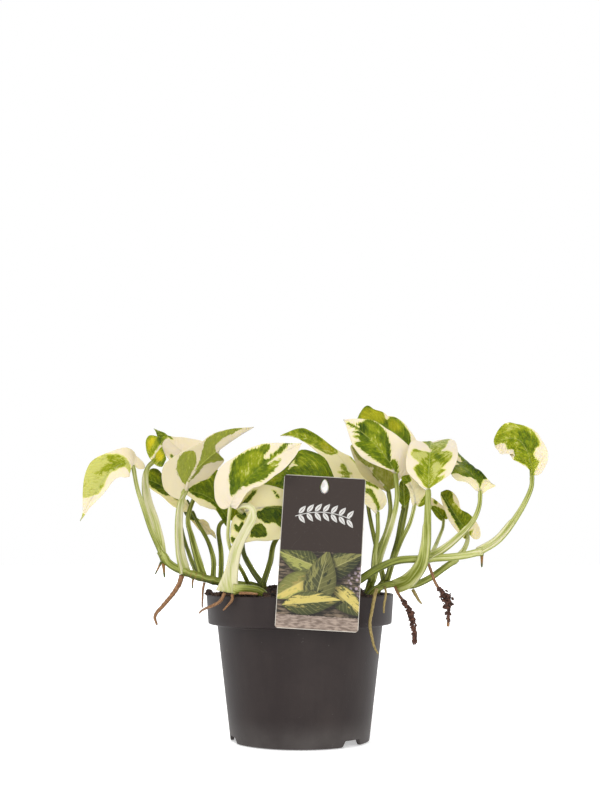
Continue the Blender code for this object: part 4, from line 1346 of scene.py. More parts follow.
@dataclass(frozen=True)
class NurseryPot:
    """The moulded pot: foot ring with notches, tapered wall, rim band and drain holes.

    Step and rim are a radius and a height. Notches are angles from the front, in degrees.
    """

    node: str = "pot"
    foot: float = 45.0
    step: Pair = (53.5, 74.4)
    band: float = 59.3
    rim: Pair = (60.5, 94.3)
    wall: float = 1.3
    floor_under: float = 4.6
    ring_width: float = 2.2
    notches: tuple[float, ...] = (46.75, -73.25, 166.75)
    notch_widths: Pair = (17.0, 12.5)
    notch_height: float = 4.2
    holes: int = 8
    hole_ring: float = 31.0
    hole_radius: float = 3.0
    shelf_rise: float = 0.9
    segments: int = 288

    def profile(self) -> list[Pair]:
        """The wall's section from the middle of the underside round to the middle of the floor.

        Returns:
            The radius and height of each corner.
        """
        step_radius, step_height = self.step
        rim_radius, rim_height = self.rim
        shelf = step_height + self.shelf_rise
        inner = self.foot - self.ring_width
        under, floor = self.floor_under, self.floor_under + self.wall
        outline = [(0, 0), (12.0, 0), (12.8, 0.1), (13.1, 0.5)]
        outline += [(radius, under) for radius in (14.5, 22, 34, inner - 0.7)]
        outline += [(inner - 0.5, 3.4), (inner - 0.25, 1.6), (inner, 0.3), (inner + 0.25, 0.0)]
        outline += [(self.foot - 0.4, 0.0), (self.foot - 0.08, 0.12), (self.foot, 0.45)]
        for height in (1.5, 2.5, 3.5, 4.4, 5.2, 8, 16, 26, 36, 46, 56, 64, 70, 73.4):
            outline.append((self.foot + (step_radius - self.foot) * height / step_height, height))
        outline += [(step_radius - 0.05, step_height - 0.35), (step_radius + 0.25, step_height)]
        outline += [(self.band - 0.7, shelf - 0.06), (self.band - 0.2, shelf + 0.15), (self.band, shelf + 0.6)]
        for part in (0.15, 0.4, 0.65, 0.85):
            outline.append((self.band + (rim_radius - self.band) * part * 0.98,
                            shelf + (rim_height - shelf) * part))
        outline += [(rim_radius - 0.12, rim_height - 1.3), (rim_radius, rim_height - 0.9)]
        outline += [(rim_radius - 0.12, rim_height - 0.3), (rim_radius - 0.5, rim_height)]
        outline += [(rim_radius - 1.1, rim_height), (rim_radius - 1.5, rim_height - 0.25)]
        outline += [(rim_radius - 1.6, rim_height - 0.7), (self.band - self.wall, shelf + self.wall)]
        outline += [(step_radius - self.wall, shelf), (self.foot - self.wall, floor)]
        outline += [(34, floor), (22, floor), (13, floor), (11.5, self.wall), (0, self.wall)]
        return outline

    def notch(self, angles: Array) -> Array:
        """How high the foot ring is cut away at these angles round the pot.

        Args:
            angles: in radians.

        Returns:
            The height of the cut at each.
        """
        found = np.zeros(len(angles))
        for notch in self.notches:
            middle = math.radians(notch - 90)
            away = np.abs((angles - middle + math.pi) % (2 * math.pi) - math.pi) * self.foot
            wide, narrow = self.notch_widths
            slope = (wide / 2 - away) / (wide - narrow) * 2
            found = np.maximum(found, np.clip(slope, 0, 1) * self.notch_height)
        return found

    def build(self, material: Material) -> Piece:
        """The pot, turned finely, notched and drilled.

        Args:
            material: its finish.

        Returns:
            The piece.
        """
        angles = turns_of(self.segments)
        cut = self.notch(angles)
        rows = []
        for radius, height in self.profile():
            z = np.full(self.segments, float(height))
            if radius > self.foot - self.ring_width - 0.6:
                z = np.where(height < self.notch_height + 1, np.maximum(z, cut * (1 - z / 60)), z)
            rows.append(circle(radius, angles, z))
        surface = Surface(())
        surface.add(np.vstack(rows), grid_faces(len(rows), self.segments, closed=True))
        made = surface.build("nursery_pot", material, merge=0.005)
        self.drill(made, material)
        return stand_for(made, self.node)

    def drill(self, made: Piece, material: Material) -> None:
        """Cuts the drain holes through the pot's floor.

        Args:
            made: the pot.
            material: its finish.
        """
        drill = Surface(())
        turn = turns_of(24)
        for hole in range(self.holes):
            middle = 2 * math.pi * (hole + 0.5) / self.holes
            away = self.hole_ring * np.array([math.cos(middle), math.sin(middle), 0.0])
            drill.add(np.vstack([away + circle(self.hole_radius, turn, z) for z in (2.6, 8.0)]), tube_faces(2, 24))
        cutter = drill.build("drill", material)
        modifier = made.modifiers.new("drain", "BOOLEAN")
        modifier.operation = "DIFFERENCE"
        modifier.solver = "EXACT"
        modifier.object = cutter
        bpy.context.view_layer.update()
        made.data = bpy.data.meshes.new_from_object(made.evaluated_get(bpy.context.evaluated_depsgraph_get()))
        made.modifiers.clear()
        bpy.data.objects.remove(cutter)
        made.data.shade_smooth()
        made.data.set_sharp_from_angle(angle=math.radians(38))


@dataclass(frozen=True)
class PeatBed:
    """The peat that fills the pot: its body, loose crumbs and fibres.

    A spill of crumbs on the rim is its angle and half spread in degrees, its layers and its crumbs.
    """

    node: str = "soil"
    edge: float = 58.6
    edge_height: float = 92.6
    dome: float = 6.0
    dome_reach: float = 59.3
    lump: float = 0.9
    wall: tuple[Pair, ...] = ((0.5, 6.2), (30, 6.2), (43.3, 6.2), (51.8, 75.6), (57.6, 77.0))
    segments: int = 220
    rings: int = 80
    crumbs: int = 900
    fibres: int = 90
    spills: tuple[tuple[float, float, int, int], ...] = ((190, 6, 3, 56), (207, 9, 2, 34), (314, 6, 1, 12))
    rim_top: float = 94.7

    def height(self, x: Array, y: Array) -> Array:
        """The height of the lumpy dome over points.

        Args:
            x: where they lie, in millimetres.
            y: where they lie on the other axis.

        Returns:
            The heights.
        """
        part = np.hypot(x, y) / self.dome_reach
        lumps = np.sin(0.33 * x + 1.1) * np.cos(0.29 * y) + 0.6 * np.sin(0.71 * x - 0.53 * y + 0.4)
        return self.edge_height + self.dome * (1 - part**2) + self.lump * lumps * (1 - part**6)

    def over(self, x: float, y: float, lift: float) -> Point:
        """The point this far above the dome over a spot."""
        return x, y, float(self.height(np.array(x), np.array(y))) + lift

    def build(self, material: Material) -> Piece:
        """The whole bed.

        Args:
            material: its finish.

        Returns:
            The piece.
        """
        surface = Surface(())
        angles = turns_of(self.segments)
        rows = [circle(radius, angles, height) for radius, height in self.wall]
        for radius in self.edge * np.sqrt(np.linspace(1, 0.0002, self.rings)):
            flat = circle(radius, angles, self.height(radius * np.cos(angles), radius * np.sin(angles)))
            crust = 0.9 * rough(flat, 0.35, 2.0) + 0.6 * rough(flat, 0.9, 5.0) + 0.35 * rough(flat, 2.0, 8.0)
            flat[:, 2] += crust - 0.8 * (radius / self.edge) ** 10
            rows.append(flat)
        surface.add(np.vstack(rows), tube_faces(len(rows), self.segments))
        chance = np.random.default_rng(11)
        self.add_crumbs(surface, chance)
        for _ in range(self.fibres):
            self.add_fibre(surface, chance)
        return stand_for(surface.build("peat_bed", material), self.node)

    def add_crumbs(self, surface: Surface, chance: np.random.Generator) -> None:
        """Adds the loose crumbs on the dome and those that spilled on the pot's rim.

        Args:
            surface: the bed's surface.
            chance: where their places and shapes come from.
        """
        for _ in range(self.crumbs):
            radius, angle = (self.edge - 1.8) * chance.random() ** 0.45, chance.uniform(0, 2 * math.pi)
            size = chance.uniform(0.5, 1.5) ** 1.3 * (1.0 if chance.random() < 0.93 else 1.5)
            spot = np.array(self.over(radius * math.cos(angle), radius * math.sin(angle), size * 0.2))
            surface.add(spot + crumb(size, chance.uniform(0, 90)), CRUMB_FACES)
        for angle, spread, layers, count in self.spills:
            for step in range(count):
                way = math.radians(angle + chance.uniform(-1, 1) * spread)
                layer = step * layers // count
                radius = chance.uniform(57.0 + layer * 0.4, 61.6 - layer * 0.8)
                size = chance.uniform(0.7, 1.3)
                spot = np.array([radius * math.cos(way), radius * math.sin(way), self.rim_top + 0.9 * layer])
                surface.add(spot + crumb(size, chance.uniform(0, 90)), CRUMB_FACES)

    def add_fibre(self, surface: Surface, chance: np.random.Generator) -> None:
        """Adds one bent fibre that lies on the peat.

        Args:
            surface: the bed's surface.
            chance: where its place and bend come from.
        """
        radius, angle = 50 * chance.random() ** 0.5, chance.uniform(0, 2 * math.pi)
        x, y = radius * math.cos(angle), radius * math.sin(angle)
        way, length = chance.uniform(0, 2 * math.pi), chance.uniform(2, 6)
        line = []
        for step in range(4):
            px = x + length * step / 3 * math.cos(way) + chance.normal(0, 0.25)
            py = y + length * step / 3 * math.sin(way) + chance.normal(0, 0.25)
            line.append(self.over(px, py, 0.7 + chance.uniform(-0.2, 0.8)))
        points, _ = curve_points(line, 3)
        tangents = unit(np.gradient(points, axis=0))
        side = unit(np.cross(tangents, np.array((0.1, 0.2, 1.0))))
        shape = points[:, None] + hoops(side, np.cross(side, tangents), 5) * chance.uniform(0.12, 0.28)
        surface.add(shape.reshape(-1, 3), tube_faces(len(points), 5))


@dataclass(frozen=True)
class PictureLabel:
    """The printed card that leans on the rim, and the stake whose head fills its slot.

    Each of the head's rings is an inset of its pear and how far behind the card's middle it lies.
    """

    width: float = 50.0
    height: float = 95.0
    thickness: float = 0.6
    corner: float = 2.0
    centre: Point = (12.6, -55.4, 121.4)
    lean: float = 12.0
    turn: float = 3.4
    slot_size: Pair = (5.8, 9.8)
    slot_drop: float = 1.2
    foot: Point = (10.5, -46.5, 70.0)
    head: Pair = (4.9, 8.9)
    head_rings: tuple[Pair, ...] = (
        (0.0, 2.35), (0.0, 0.35), (0.12, -0.15), (0.35, -0.5), (0.75, -0.75), (1.3, -0.87), (1.9, -0.91))
    strip: tuple[Pair, ...] = (
        (-3, -0.3), (-2.6, -0.6), (-1.1, -0.6), (-0.7, -0.35), (0.7, -0.35), (1.1, -0.6), (2.6, -0.6),
        (3, -0.3), (3, 0.3), (2.6, 0.6), (-2.6, 0.6), (-3, 0.3))

    def place(self) -> Matrix:
        """Where the card stands, in metres."""
        return (Matrix.Translation(Vector(self.centre) * MM) @ Matrix.Rotation(math.radians(-self.lean), 4, "X")
                @ Matrix.Rotation(math.radians(self.turn), 4, "Y"))

    def slot_middle(self) -> float:
        """How far the slot's middle lies above the card's."""
        return self.height / 2 - self.slot_drop - self.slot_size[1] / 2

    def outline(self) -> list[Pair]:
        """The card's outline with its round corners.

        Returns:
            The corners, across and up.
        """
        found = []
        for turn, (sx, sz) in enumerate(((1, 1), (-1, 1), (-1, -1), (1, -1))):
            for step in range(9):
                angle = math.pi / 2 * (turn + step / 8)
                found.append((sx * (self.width / 2 - self.corner) + self.corner * math.cos(angle),
                              sz * (self.height / 2 - self.corner) + self.corner * math.sin(angle)))
        return found

    def pear(self, width: float, height: float, count: int = 40) -> list[Pair]:
        """A pear-shaped outline, narrower at its top, round its own middle.

        Args:
            width: its width.
            height: its height.
            count: how many corners it has.

        Returns:
            The corners, across and up.
        """
        found = []
        for angle in turns_of(count):
            narrow = 1 - 0.3 * max(0.0, math.sin(angle)) ** 0.8
            found.append((width / 2 * math.cos(angle) * narrow, height / 2 * math.sin(angle)))
        return found

    def build_card(self, material: Material) -> Piece:
        """The card: a thin sheet with its slot cut out.

        Args:
            material: its finish.

        Returns:
            The piece.
        """
        body = bmesh.new()
        slot = [(x, z + self.slot_middle()) for x, z in self.pear(*self.slot_size)]
        edges = []
        for loop in (self.outline(), slot):
            ring = [body.verts.new((x * MM, -self.thickness / 2 * MM, z * MM)) for x, z in loop]
            edges += [body.edges.new(pair) for pair in zip(ring, ring[1:] + ring[:1])]
        bmesh.ops.triangle_fill(body, use_beauty=True, edges=edges)
        grown = bmesh.ops.extrude_face_region(body, geom=list(body.faces))
        shift = Vector((0, self.thickness * MM, 0))
        bmesh.ops.translate(body, vec=shift, verts=[v for v in grown["geom"] if isinstance(v, bmesh.types.BMVert)])
        bmesh.ops.recalc_face_normals(body, faces=body.faces)
        mesh = bpy.data.meshes.new("picture_card")
        body.to_mesh(mesh)
        body.free()
        made = show("picture_card", mesh, material, sharp=40)
        made.matrix_world = self.place()
        return stand_for(made, "label_card")

    def placed(self, local: Array) -> Array:
        """Points given on the card, in millimetres, moved to where the card stands."""
        place = np.array(self.place())
        return local @ place[:3, :3].T + place[:3, 3] / MM

    def build_stake(self, material: Material) -> Piece:
        """The stake: its domed head in the slot and its ribbed strip down into the peat.

        Args:
            material: its finish.

        Returns:
            The piece.
        """
        surface = Surface(())
        rows = []
        for inset, y in self.head_rings:
            ring = self.pear(*(size - 2 * inset for size in self.head))
            rows.append(np.array([(x, y, z + self.slot_middle()) for x, z in ring]))
        surface.add(self.placed(np.vstack(rows)), tube_faces(len(rows), len(rows[0])))
        top = self.placed(np.array([0.0, 1.5, self.slot_middle() - 2.0]))
        foot = np.array(self.foot)
        rise = unit(top - foot)
        across = unit(np.array((1.0, 0, 0)) - rise * rise[0])
        depth = np.cross(rise, across)
        ring = np.array([across * x + depth * y for x, y in self.strip])
        spans = np.linspace(0, 1, 12)[:, None, None]
        shape = foot + (top - foot) * spans + ring[None]
        surface.add(shape.reshape(-1, 3), tube_faces(len(spans), len(ring)))
        return stand_for(surface.build("stake_moulding", material, sharp=40), "label_stake")


@dataclass(frozen=True)
class Studio:
    """A pale floor, soft light from all round and the camera of the picture.

    A light is its name, the side that it shines from, its width in degrees and its power.
    """

    lens: float = 58.3
    camera_place: Point = (0.0, -840.0, 128.0)
    shift_y: float = 0.177
    horizon: Colour = (1.0, 1.0, 1.0)
    zenith: Colour = (0.36, 0.36, 0.37)
    floor_reach: float = 6.0
    floor_drop: float = 0.0006
    lights: tuple[tuple[str, Point, float, float], ...] = (
        ("key", (-380, -560, 1000), 24.0, 1.25), ("fill", (250, -900, 450), 50.0, 1.15),
        ("back", (150, 800, 900), 35.0, 0.5))

    def build(self, floor: Material) -> None:
        """Sets the floor, the world, the lights and the camera.

        Args:
            floor: the floor's finish.
        """
        scene = bpy.context.scene
        mesh = bpy.data.meshes.new("studio_floor")
        corners = ((-1, -1), (1, -1), (1, 1), (-1, 1))
        mesh.from_pydata([(x * self.floor_reach, y * self.floor_reach, -self.floor_drop) for x, y in corners],
                         [], [(0, 1, 2, 3)])
        show("studio_floor", mesh, floor)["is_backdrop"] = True
        sky = Board("studio_sky", "worlds")
        _, _, up = sky.split(Wire(sky, sky.node("ShaderNodeTexCoord").outputs["Generated"]))
        tone = sky.mix(up.rise(0.42, 0.75), self.horizon, self.zenith)
        glow = sky.node("ShaderNodeBackground", None, {"Color": tone})
        sky.node("ShaderNodeOutputWorld", None, {"Surface": Wire(sky, glow.outputs[0])})
        scene.world = sky.material
        for name, side, spread, power in self.lights:
            data = bpy.data.lights.new(name, "SUN")
            data.angle = math.radians(spread)
            data.energy = power
            lamp = bpy.data.objects.new(name, data)
            lamp.location = Vector(side) * MM
            lamp.rotation_euler = Vector(side).to_track_quat("Z", "Y").to_euler()
            scene.collection.objects.link(lamp)
        scene.view_settings.view_transform = "Standard"
        scene.view_settings.look = "None"
        data = bpy.data.cameras.new("camera")
        data.lens = self.lens
        data.shift_y = self.shift_y
        data.clip_end = 50.0
        camera = bpy.data.objects.new("camera", data)
        camera.location = Vector(self.camera_place) * MM
        camera.rotation_euler = (math.pi / 2, 0, 0)
        scene.collection.objects.link(camera)
        scene.camera = camera


ALL_GREEN = GREEN(-900, -900, 900, -900, 900, 900, -900, 900)
GREEN_HEART = (
    GREEN(-35, -10, -70, 10, -55, 30, -62, 50, -30, 62, -25, 80, 0, 93, 20, 75, 50, 60, 40, 45, 70, 30, 50, 5, 10, 0),
)
GREEN_SIDE = (
    GREEN(0, 0, 5, 30, -10, 55, 0, 80, 10, 95, 50, 75, 90, 45, 110, 10, 70, -20),
    GREEN(-50, 10, -70, 20, -60, 40, -40, 35),
)
GREEN_PATCHES = (
    GREEN(5, 5, -60, 0, -90, 15, -75, 35, -30, 40, 0, 30),
    GREEN(10, 20, 50, 10, 75, 30, 60, 55, 25, 80, 5, 60),
    GREEN(-50, 50, -45, 65, -20, 82, -10, 70, -25, 55),
)
GREEN_TIP = (
    GREEN(0, 60, -40, 70, -20, 90, 0, 110, 30, 85, 35, 65),
    GREEN(30, 10, 60, 15, 55, 35, 35, 30),
)

BLADES = (
    Blade("leaf_far_left", (-107, -10, 177), (-121, -16, 172), (-138.5, -24, 141), (0.1, -0.92, 0.3), 21, tone=1.08,
        ribbed=0.1, right=(20, -10, 60, -16, 100, -12, 115, -2, 95, 14, 102, 21, 120, 29, 128, 37, 120, 45, 98, 56,
        10, 89), left=(-102, 7, -96, 22, -64, 30, -56, 40, -56, 53, -46, 64, -18, 81, -12, 90),
        patches=(GREEN(-178, 2, -28, 5, 28, 8, 64, 15, 118, 30, 128, 37, 122, 46, 104, 58, 68, 73, 30, 71, -12, 64,
        -24, 59, -24, 50, -12, 41, -6, 32, -20, 24, -24, 15, -52, 9, -154, 4), DARK(82, 23, 64, 15, 22, 9, -22, 12,
        22, 38, 54, 36, 50, 26), GREEN(6, 102, 12, 91, -18, 92, -18, 103))),
    Blade("leaf_left_rolled", (-95, 0, 179), (-92, 2, 189), (-86, 6, 197), (-0.4, -0.9, 0.3), 16, fold=18, tone=0.72,
        ribbed=0.9, right=(46, -9, 124, -12, 148, 5, 136, 20, 18, 61, 0, 80), left=(-40, 13, -76, 25, -104, 41,
        -122, 57, -114, 71, -42, 83, -28, 91), patches=(ALL_GREEN, CREAM(-4, 60, 32, 54, -12, 9, -30, 11, -12, 31),
        GOLD(-6, 35, 46, 40, 108, 23, 100, 6, 32, 10), GOLD(-100, 60, -82, 70, -52, 65, -56, 45, -68, 34, -96, 48),
        DARK(40, 44, 100, 38, 188, 6, 148, -9, 56, -3, 110, 10, 102, 27), DARK(-56, 76, -16, 86, 20, 66, -28, 63))),
    Blade("leaf_left_back", (-62, 20, 171), (-78, 21, 187), (-97, 20, 203), (-0.1, -0.5, 0.85), 30, tone=0.5,
        slot="leaf_cream", right=(70, -1, 96, 8, 116, 23, 124, 38, 110, 49, 24, 75, 16, 86), left=(-52, -4, -78, 7,
        -98, 22, -122, 34, -132, 46, -122, 56, -106, 67, -34, 88), patches=(GREEN(-6, 103, 8, 95, 22, 80, 18, 70,
        8, 77, -16, 80, -58, 81, -40, 89), GREEN(-92, 56, -76, 55, -90, 50, -106, 51))),
    Blade("leaf_left_underside", (-72, -20, 161), (-61, -26, 177.5), (-28.5, -38, 199), (0.15, 0.8, 0.6), 37,
        tone=0.62, ribbed=0.8, right=(18, -10, 46, -8, 66, -3, 92, 6, 98, 12, 90, 17, 60, 43, 58, 57, 50, 67, 22, 87),
        left=(-12, 2, -36, 13, -54, 23, -54, 37, -50, 48, -42, 52, 0, 55, 0, 87), patches=(GREEN(12, 5, 50, 12,
        64, 17, 74, 24, 68, 30, 56, 35, 38, 35, 20, 31, 8, 24, 0, 8), GREEN(-2, 11, -2, 21, 8, 30, 22, 38, 38, 44,
        54, 52, 54, 58, 46, 69, 16, 90, 24, 65, 20, 57, 6, 54, -20, 52, -50, 53, -34, 47, -20, 40, -10, 32, -14, 25,
        -14, 18))),
    Blade("leaf_left_low", (-71, 13, 148), (-87, 15, 162), (-104, 13, 170), (-0.3, -0.6, 0.75), 22, tone=0.25,
        warm=0.8, slot="leaf_dark", right=(22, 21, 56, 62, 84, 79, 84, 86, 66, 92, 32, 96), left=(-50, 5, -74, 22,
        -82, 35, -82, 54, -74, 70, -48, 85, -16, 93), patches=(GREEN(12, 96, 66, 92, 92, 85, 84, 76, 62, 67, 22, 57,
        4, 26, -24, 29, -34, 44, -62, 55, -58, 68, -46, 80, -18, 89), BRIGHT(38, 96, 58, 88, 48, 78, 30, 73, 8, 84,
        10, 93), BRIGHT(40, 69, 30, 60, 8, 51, -6, 59))),
    Blade("leaf_left_small", (-76, 23, 152), (-67, 23, 141), (-56, 23, 130), (0.4, -0.7, 0.5), 11, tone=0.15,
        warm=0.3, slot="leaf_cream", right=(62, -1, 126, 13, 130, 24, 94, 35, 88, 48, 96, 65, 82, 79, 14, 86),
        left=(-56, -10, -66, 0, -26, 12, -14, 40, -56, 49, -78, 62, -58, 75, -58, 87), patches=(GREEN(-8, -18,
        -98, -8, -46, 12, -14, 43, 96, 32, 174, 20, 126, 2),)),
    Blade("leaf_left_inner", (-47, 3, 142), (-60, 2, 157), (-77, 0, 160), (0, -0.85, 0.5), 30, tone=0.38, warm=0.7,
        slot="leaf_dark", feather=0.05, right=(34, -6, 70, 2, 98, 16, 132, 57, 82, 65, 26, 84, 8, 92), left=(-8, -12,
        -26, -7, -24, 24, -46, 36, -60, 51, -58, 65, -18, 91), patches=(GREEN(8, 90, 28, 80, 52, 71, 80, 63, 132, 59,
        142, 46, 118, 13, 62, -12, -16, -17, -38, 4, -20, 26, -20, 41, -26, 59, -20, 76, 0, 87),)),
    Blade("leaf_front_left", (-43, -38, 149.5), (-28.5, -46, 170), (1, -49, 188), (0.1, -0.9, 0.4), 32, tone=0.43,
        feather=0.3, pucker=0.45, ribbed=0.15, right=(30, 2, 40, 11, 42, 24, 48, 34, 64, 43, 66, 66, 62, 76, 46, 86,
        24, 94), left=(-30, -6, -62, -2, -86, 6, -104, 14, -112, 23, -108, 30, -90, 44, -84, 54, -74, 63, -60, 72,
        -18, 91), patches=(GREEN(-10, 12, -38, 18, -60, 25, -82, 34, -88, 42, -80, 51, -68, 60, -62, 69, -48, 71,
        -32, 67, -26, 61, -12, 62, -16, 74, -4, 75, 4, 61, 14, 63, 22, 75, 30, 69, 28, 63, 40, 69, 48, 57, 50, 46,
        26, 33, 2, 23), GREEN(-16, 66, -14, 73, -24, 80, -30, 88, -16, 97, -18, 87, -8, 81, 0, 73), BRIGHT(-68, 46,
        -68, 55, -44, 61, -16, 55, -2, 42, -8, 30, -34, 31, -52, 39), BRIGHT(-42, 68, -6, 72, 28, 72, 34, 59, 2, 59,
        -18, 66), DARK(-20, 14, -64, 28, -82, 36, -70, 36, -50, 28, -22, 21), DARK(-28, 64, -28, 69, 0, 65, 22, 58,
        -2, 57))),
    # Its bright patches are painted glints on the quilted blade.
    Blade("leaf_behind_label", (16, -16, 152), (6, -19.3, 170), (-25, -18, 162), (0, -0.86, 0.5), 40, tone=0.36,
        pucker=0.75, slot="leaf_dark", ribbed=0.1, right=(96, -2, 74, 11, 56, 24, 76, 34, 86, 44, 88, 49, 78, 53,
        54, 58, 36, 66, 26, 74, 16, 86), left=(-50, 8, -75, 25, -85, 45, -70, 68, -40, 88), patches=(ALL_GREEN,
        CREAM(24, 64, 56, 55, 40, 57, 34, 53, 26, 59), BRIGHT(42, 54, 60, 50, 54, 46, 30, 49, 20, 53), BRIGHT(32, 43,
        52, 40, 46, 37, 24, 37, 20, 41), BRIGHT(6, 95, 16, 84, 18, 74, 2, 72, -12, 82, -20, 93))),
    Blade("leaf_front_cream", (-36, -35, 146), (-13, -38, 149), (9, -41, 139), (0, -1, -0.05), 40, fold=-4, tone=0.15,
        warm=0.9, slot="leaf_cream", right=(0, -10, 20, -19, 50, -25, 80, -27, 96, 2, 106, 31, 92, 65, 56, 86,
        24, 96), left=(-18, -6, -40, -8, -60, -3, -72, 7, -76, 17, -72, 29, -46, 69, -32, 84, -14, 96),
        patches=(GREEN(26, 18, 12, 19, 8, 26, 0, 33, -6, 56, 2, 67, 34, 69, 58, 57, 48, 45, 50, 33, 38, 23),
        GREEN(80, -2, 60, 4, 50, 13, 46, 20, 58, 26, 84, 30, 94, 22, 86, 8), GREEN(-22, 0, -32, 7, -58, 21, -50, 22,
        -32, 15, -22, 8, -18, 2), GREEN(-50, 40, -50, 42, -34, 48, -30, 46), GREEN(-10, -8, -10, -1, 4, 3, 14, 4,
        22, -3, 8, -7), GREEN(24, -14, 34, -11, 28, -4, 50, -5, 58, -10, 48, -17, 34, -18), GREEN(56, -26, 64, -21,
        76, -20, 76, -26))),
    Blade("leaf_arch", (38, 10, 160), (20, 9, 188.5), (-13, 5, 197), (0.15, -0.75, 0.65), 31, tone=0.72, warm=0.8,
        ribbed=0.1, right=(44, -1, 74, 7, 50, 24, 46, 32, 32, 38, 22, 45, 24, 55, 40, 73, 42, 81, 16, 95),
        left=(-100, 1, -140, 18, -120, 34, -82, 58, -28, 76, -10, 84, 0, 92), patches=(GREEN(6, 100, 52, 81, 48, 72,
        34, 54, 18, 45, -2, 43, -32, 46, -52, 52, -52, 61, -38, 70, 2, 89), GREEN(-46, 31, -18, 32, -8, 29, -16, 24,
        -46, 27), GREEN(-86, 27, -30, 24, 6, 19, -48, 21), GREEN(-124, 20, -70, 20, -22, 18, -44, 15, -98, 15),
        GREEN(42, 33, 56, 31, 58, 24, 58, 18, 44, 25), OLIVE(10, 60, 12, 52, 0, 46, -34, 50, -30, 59), DARK(36, 82,
        34, 71, 18, 61, 6, 64, 16, 73, 20, 82))),
    Blade("leaf_right_front", (60, -25, 171), (46, -29, 190), (27, -33, 204), (-0.1, -0.9, 0.4), 35, fold=6,
        tone=0.45, feather=0.3, pucker=0.45, right=(22, -10, 52, -13, 78, -4, 94, 5, 98, 14, 80, 41, 70, 51, 64, 62,
        52, 72, 20, 90), left=(-20, 9, -42, 20, -60, 33, -74, 48, -72, 60, -64, 70, -46, 80, -12, 94),
        patches=(GREEN(-4, 7, -26, 17, -40, 32, -52, 47, -54, 69, -30, 65, -34, 78, -16, 70, -20, 81, -4, 75, -10, 87,
        0, 95, 6, 77, 14, 81, 46, 75, 56, 68, 62, 59, 62, 49, 54, 41, 14, 20, 6, 11), GREEN(14, 17, 26, 14, 22, 7,
        10, 0, 0, 5, 0, 13), BRIGHT(16, 60, 26, 53, 18, 38, 4, 24, -10, 27, -10, 42, -6, 55), DARK(58, 51, 54, 41,
        36, 30, 6, 16, -4, 18, 38, 42), DARK(12, 80, 30, 75, 12, 67, -16, 65, -12, 75), BRIGHT(42, 71, 48, 63, 42, 54,
        28, 59, 28, 67))),
    # Full painted glow lightens this underside, which lies in the shade of the leaf in front.
    Blade("leaf_right_underside", (57, -6, 161), (45, -8, 174), (33, -10, 190), (0.2, 0.95, 0.2), 25, tone=0.95,
        warm=1, right=(14, -5, 16, 4, 34, 15, 44, 29, 52, 55, 18, 94), left=(-40, -5, -76, 0, -96, 18, -86, 39,
        -64, 61, -38, 81), patches=(GREEN(0, 102, -6, 84, -16, 71, -52, 42, -78, 25, -68, 8, -18, -10, 14, -5, 4, 7,
        -2, 22, 6, 38, -8, 45, -22, 46, 4, 57, 14, 70, 14, 84),)),
    # Its olive patches are painted glow: the olive gold of light shining through this leaf.
    Blade("leaf_right_top", (70, 8, 176), (57.5, 8, 202), (36, 6, 207), (0.3, -0.7, 0.65), 29, tone=0.55, pucker=0.5,
        ribbed=0.1, right=(48, -4, 86, 3, 98, 12, 104, 22, 98, 47, 90, 54, 76, 60, 60, 64, 64, 68, 64, 77, 80, 85,
        16, 96), left=(-70, 5, -84, 27, -84, 50, -74, 70, -58, 86, -12, 95), patches=(GREEN(-20, 99, 50, 91, 92, 85,
        72, 76, 62, 69, 34, 64, 44, 61, 64, 61, 82, 56, 88, 49, 88, 41, 78, 34, 64, 28, 36, 24, 24, 34, -16, 54,
        -28, 65, -36, 79), OLIVE(26, 92, 66, 84, 52, 68, 12, 64, 0, 76, -2, 88), OLIVE(22, 59, 54, 59, 66, 51, 54, 44,
        22, 47, 8, 54), DARK(74, 46, 84, 38, 66, 29, 36, 28, 34, 37, 54, 41), DARK(32, 66, 36, 61, -2, 56, -10, 61))),
    Blade("leaf_right_facing", (79, -42, 160), (81, -32, 182), (85, -6, 192), (0, -0.8, 0.6), 34, tone=0.82,
        ribbed=0.7, feather=0.08, right=(30, 7, 76, 17, 90, 25, 100, 34, 102, 49, 82, 103, 54, 124, 28, 124),
        left=(-24, 3, -74, 16, -86, 24, -86, 37, -76, 61, -58, 73, -30, 86), patches=(GREEN(-2, 2, -36, 12, -56, 21,
        -50, 26, -36, 31, -64, 37, -68, 42, -58, 49, -4, 50, 6, 58, -10, 65, -34, 84, -24, 120, 4, 90, 26, 95,
        44, 124, 66, 124, 56, 66, 40, 56, 48, 51, 70, 50, 82, 43, 74, 37, 60, 30, 44, 25, 58, 23, 30, 14, 56, 16,
        42, 10, 16, 4), DARK(-20, 97, -2, 81, 6, 53, 6, 35, 0, 20, -8, 21, -2, 38, -6, 57), DARK(-46, 26, -26, 25,
        -18, 17, -38, 17), DARK(14, 51, 40, 44, 68, 34, 50, 31, 24, 39), BRIGHT(-60, 43, -30, 47, -14, 42, -36, 36,
        -60, 37), BRIGHT(20, 32, 38, 33, 40, 23, 18, 17, 10, 24))),
    Blade("leaf_right_dark", (113, -28, 160), (106, -16, 175), (93, 4, 184), (0.3, -0.75, 0.6), 24, tone=0.36,
        pucker=0.6, warm=0.5, slot="leaf_dark", ribbed=0.1, right=(10, -5, 42, 0, 92, 4, 66, 9, 50, 29, 44, 49,
        56, 78, 90, 99, 60, 103), left=(-32, -1, -56, 6, -88, 12, -132, 14, -150, 20, -150, 32, -138, 44, -78, 68),
        patches=(GREEN(0, 3, 2, 16, -28, 21, -78, 21, -110, 28, -158, 25, -136, 37, -92, 46, -34, 52, -18, 67, 18, 61,
        40, 77, 96, 103, 72, 83, 56, 53, 62, 39, 62, 17, 34, 14, 12, 7), BRIGHT(-100, 38, -36, 46, 0, 44, -20, 34,
        -84, 27, -118, 30), DARK(46, 59, 52, 45, 54, 16, 28, 18, 16, 48))),
    # Its bright patches are painted glints on the quilted blade.
    Blade("leaf_far_right", (143, -42, 169), (135.5, -42, 190), (120, -42, 187), (0, -0.95, 0.3), 22, tone=0.72,
        pucker=0.9, ribbed=0.4, right=(34, -1, 64, 4, 94, 15, 108, 28, 110, 38, 104, 45, 106, 50, 84, 66, 88, 71,
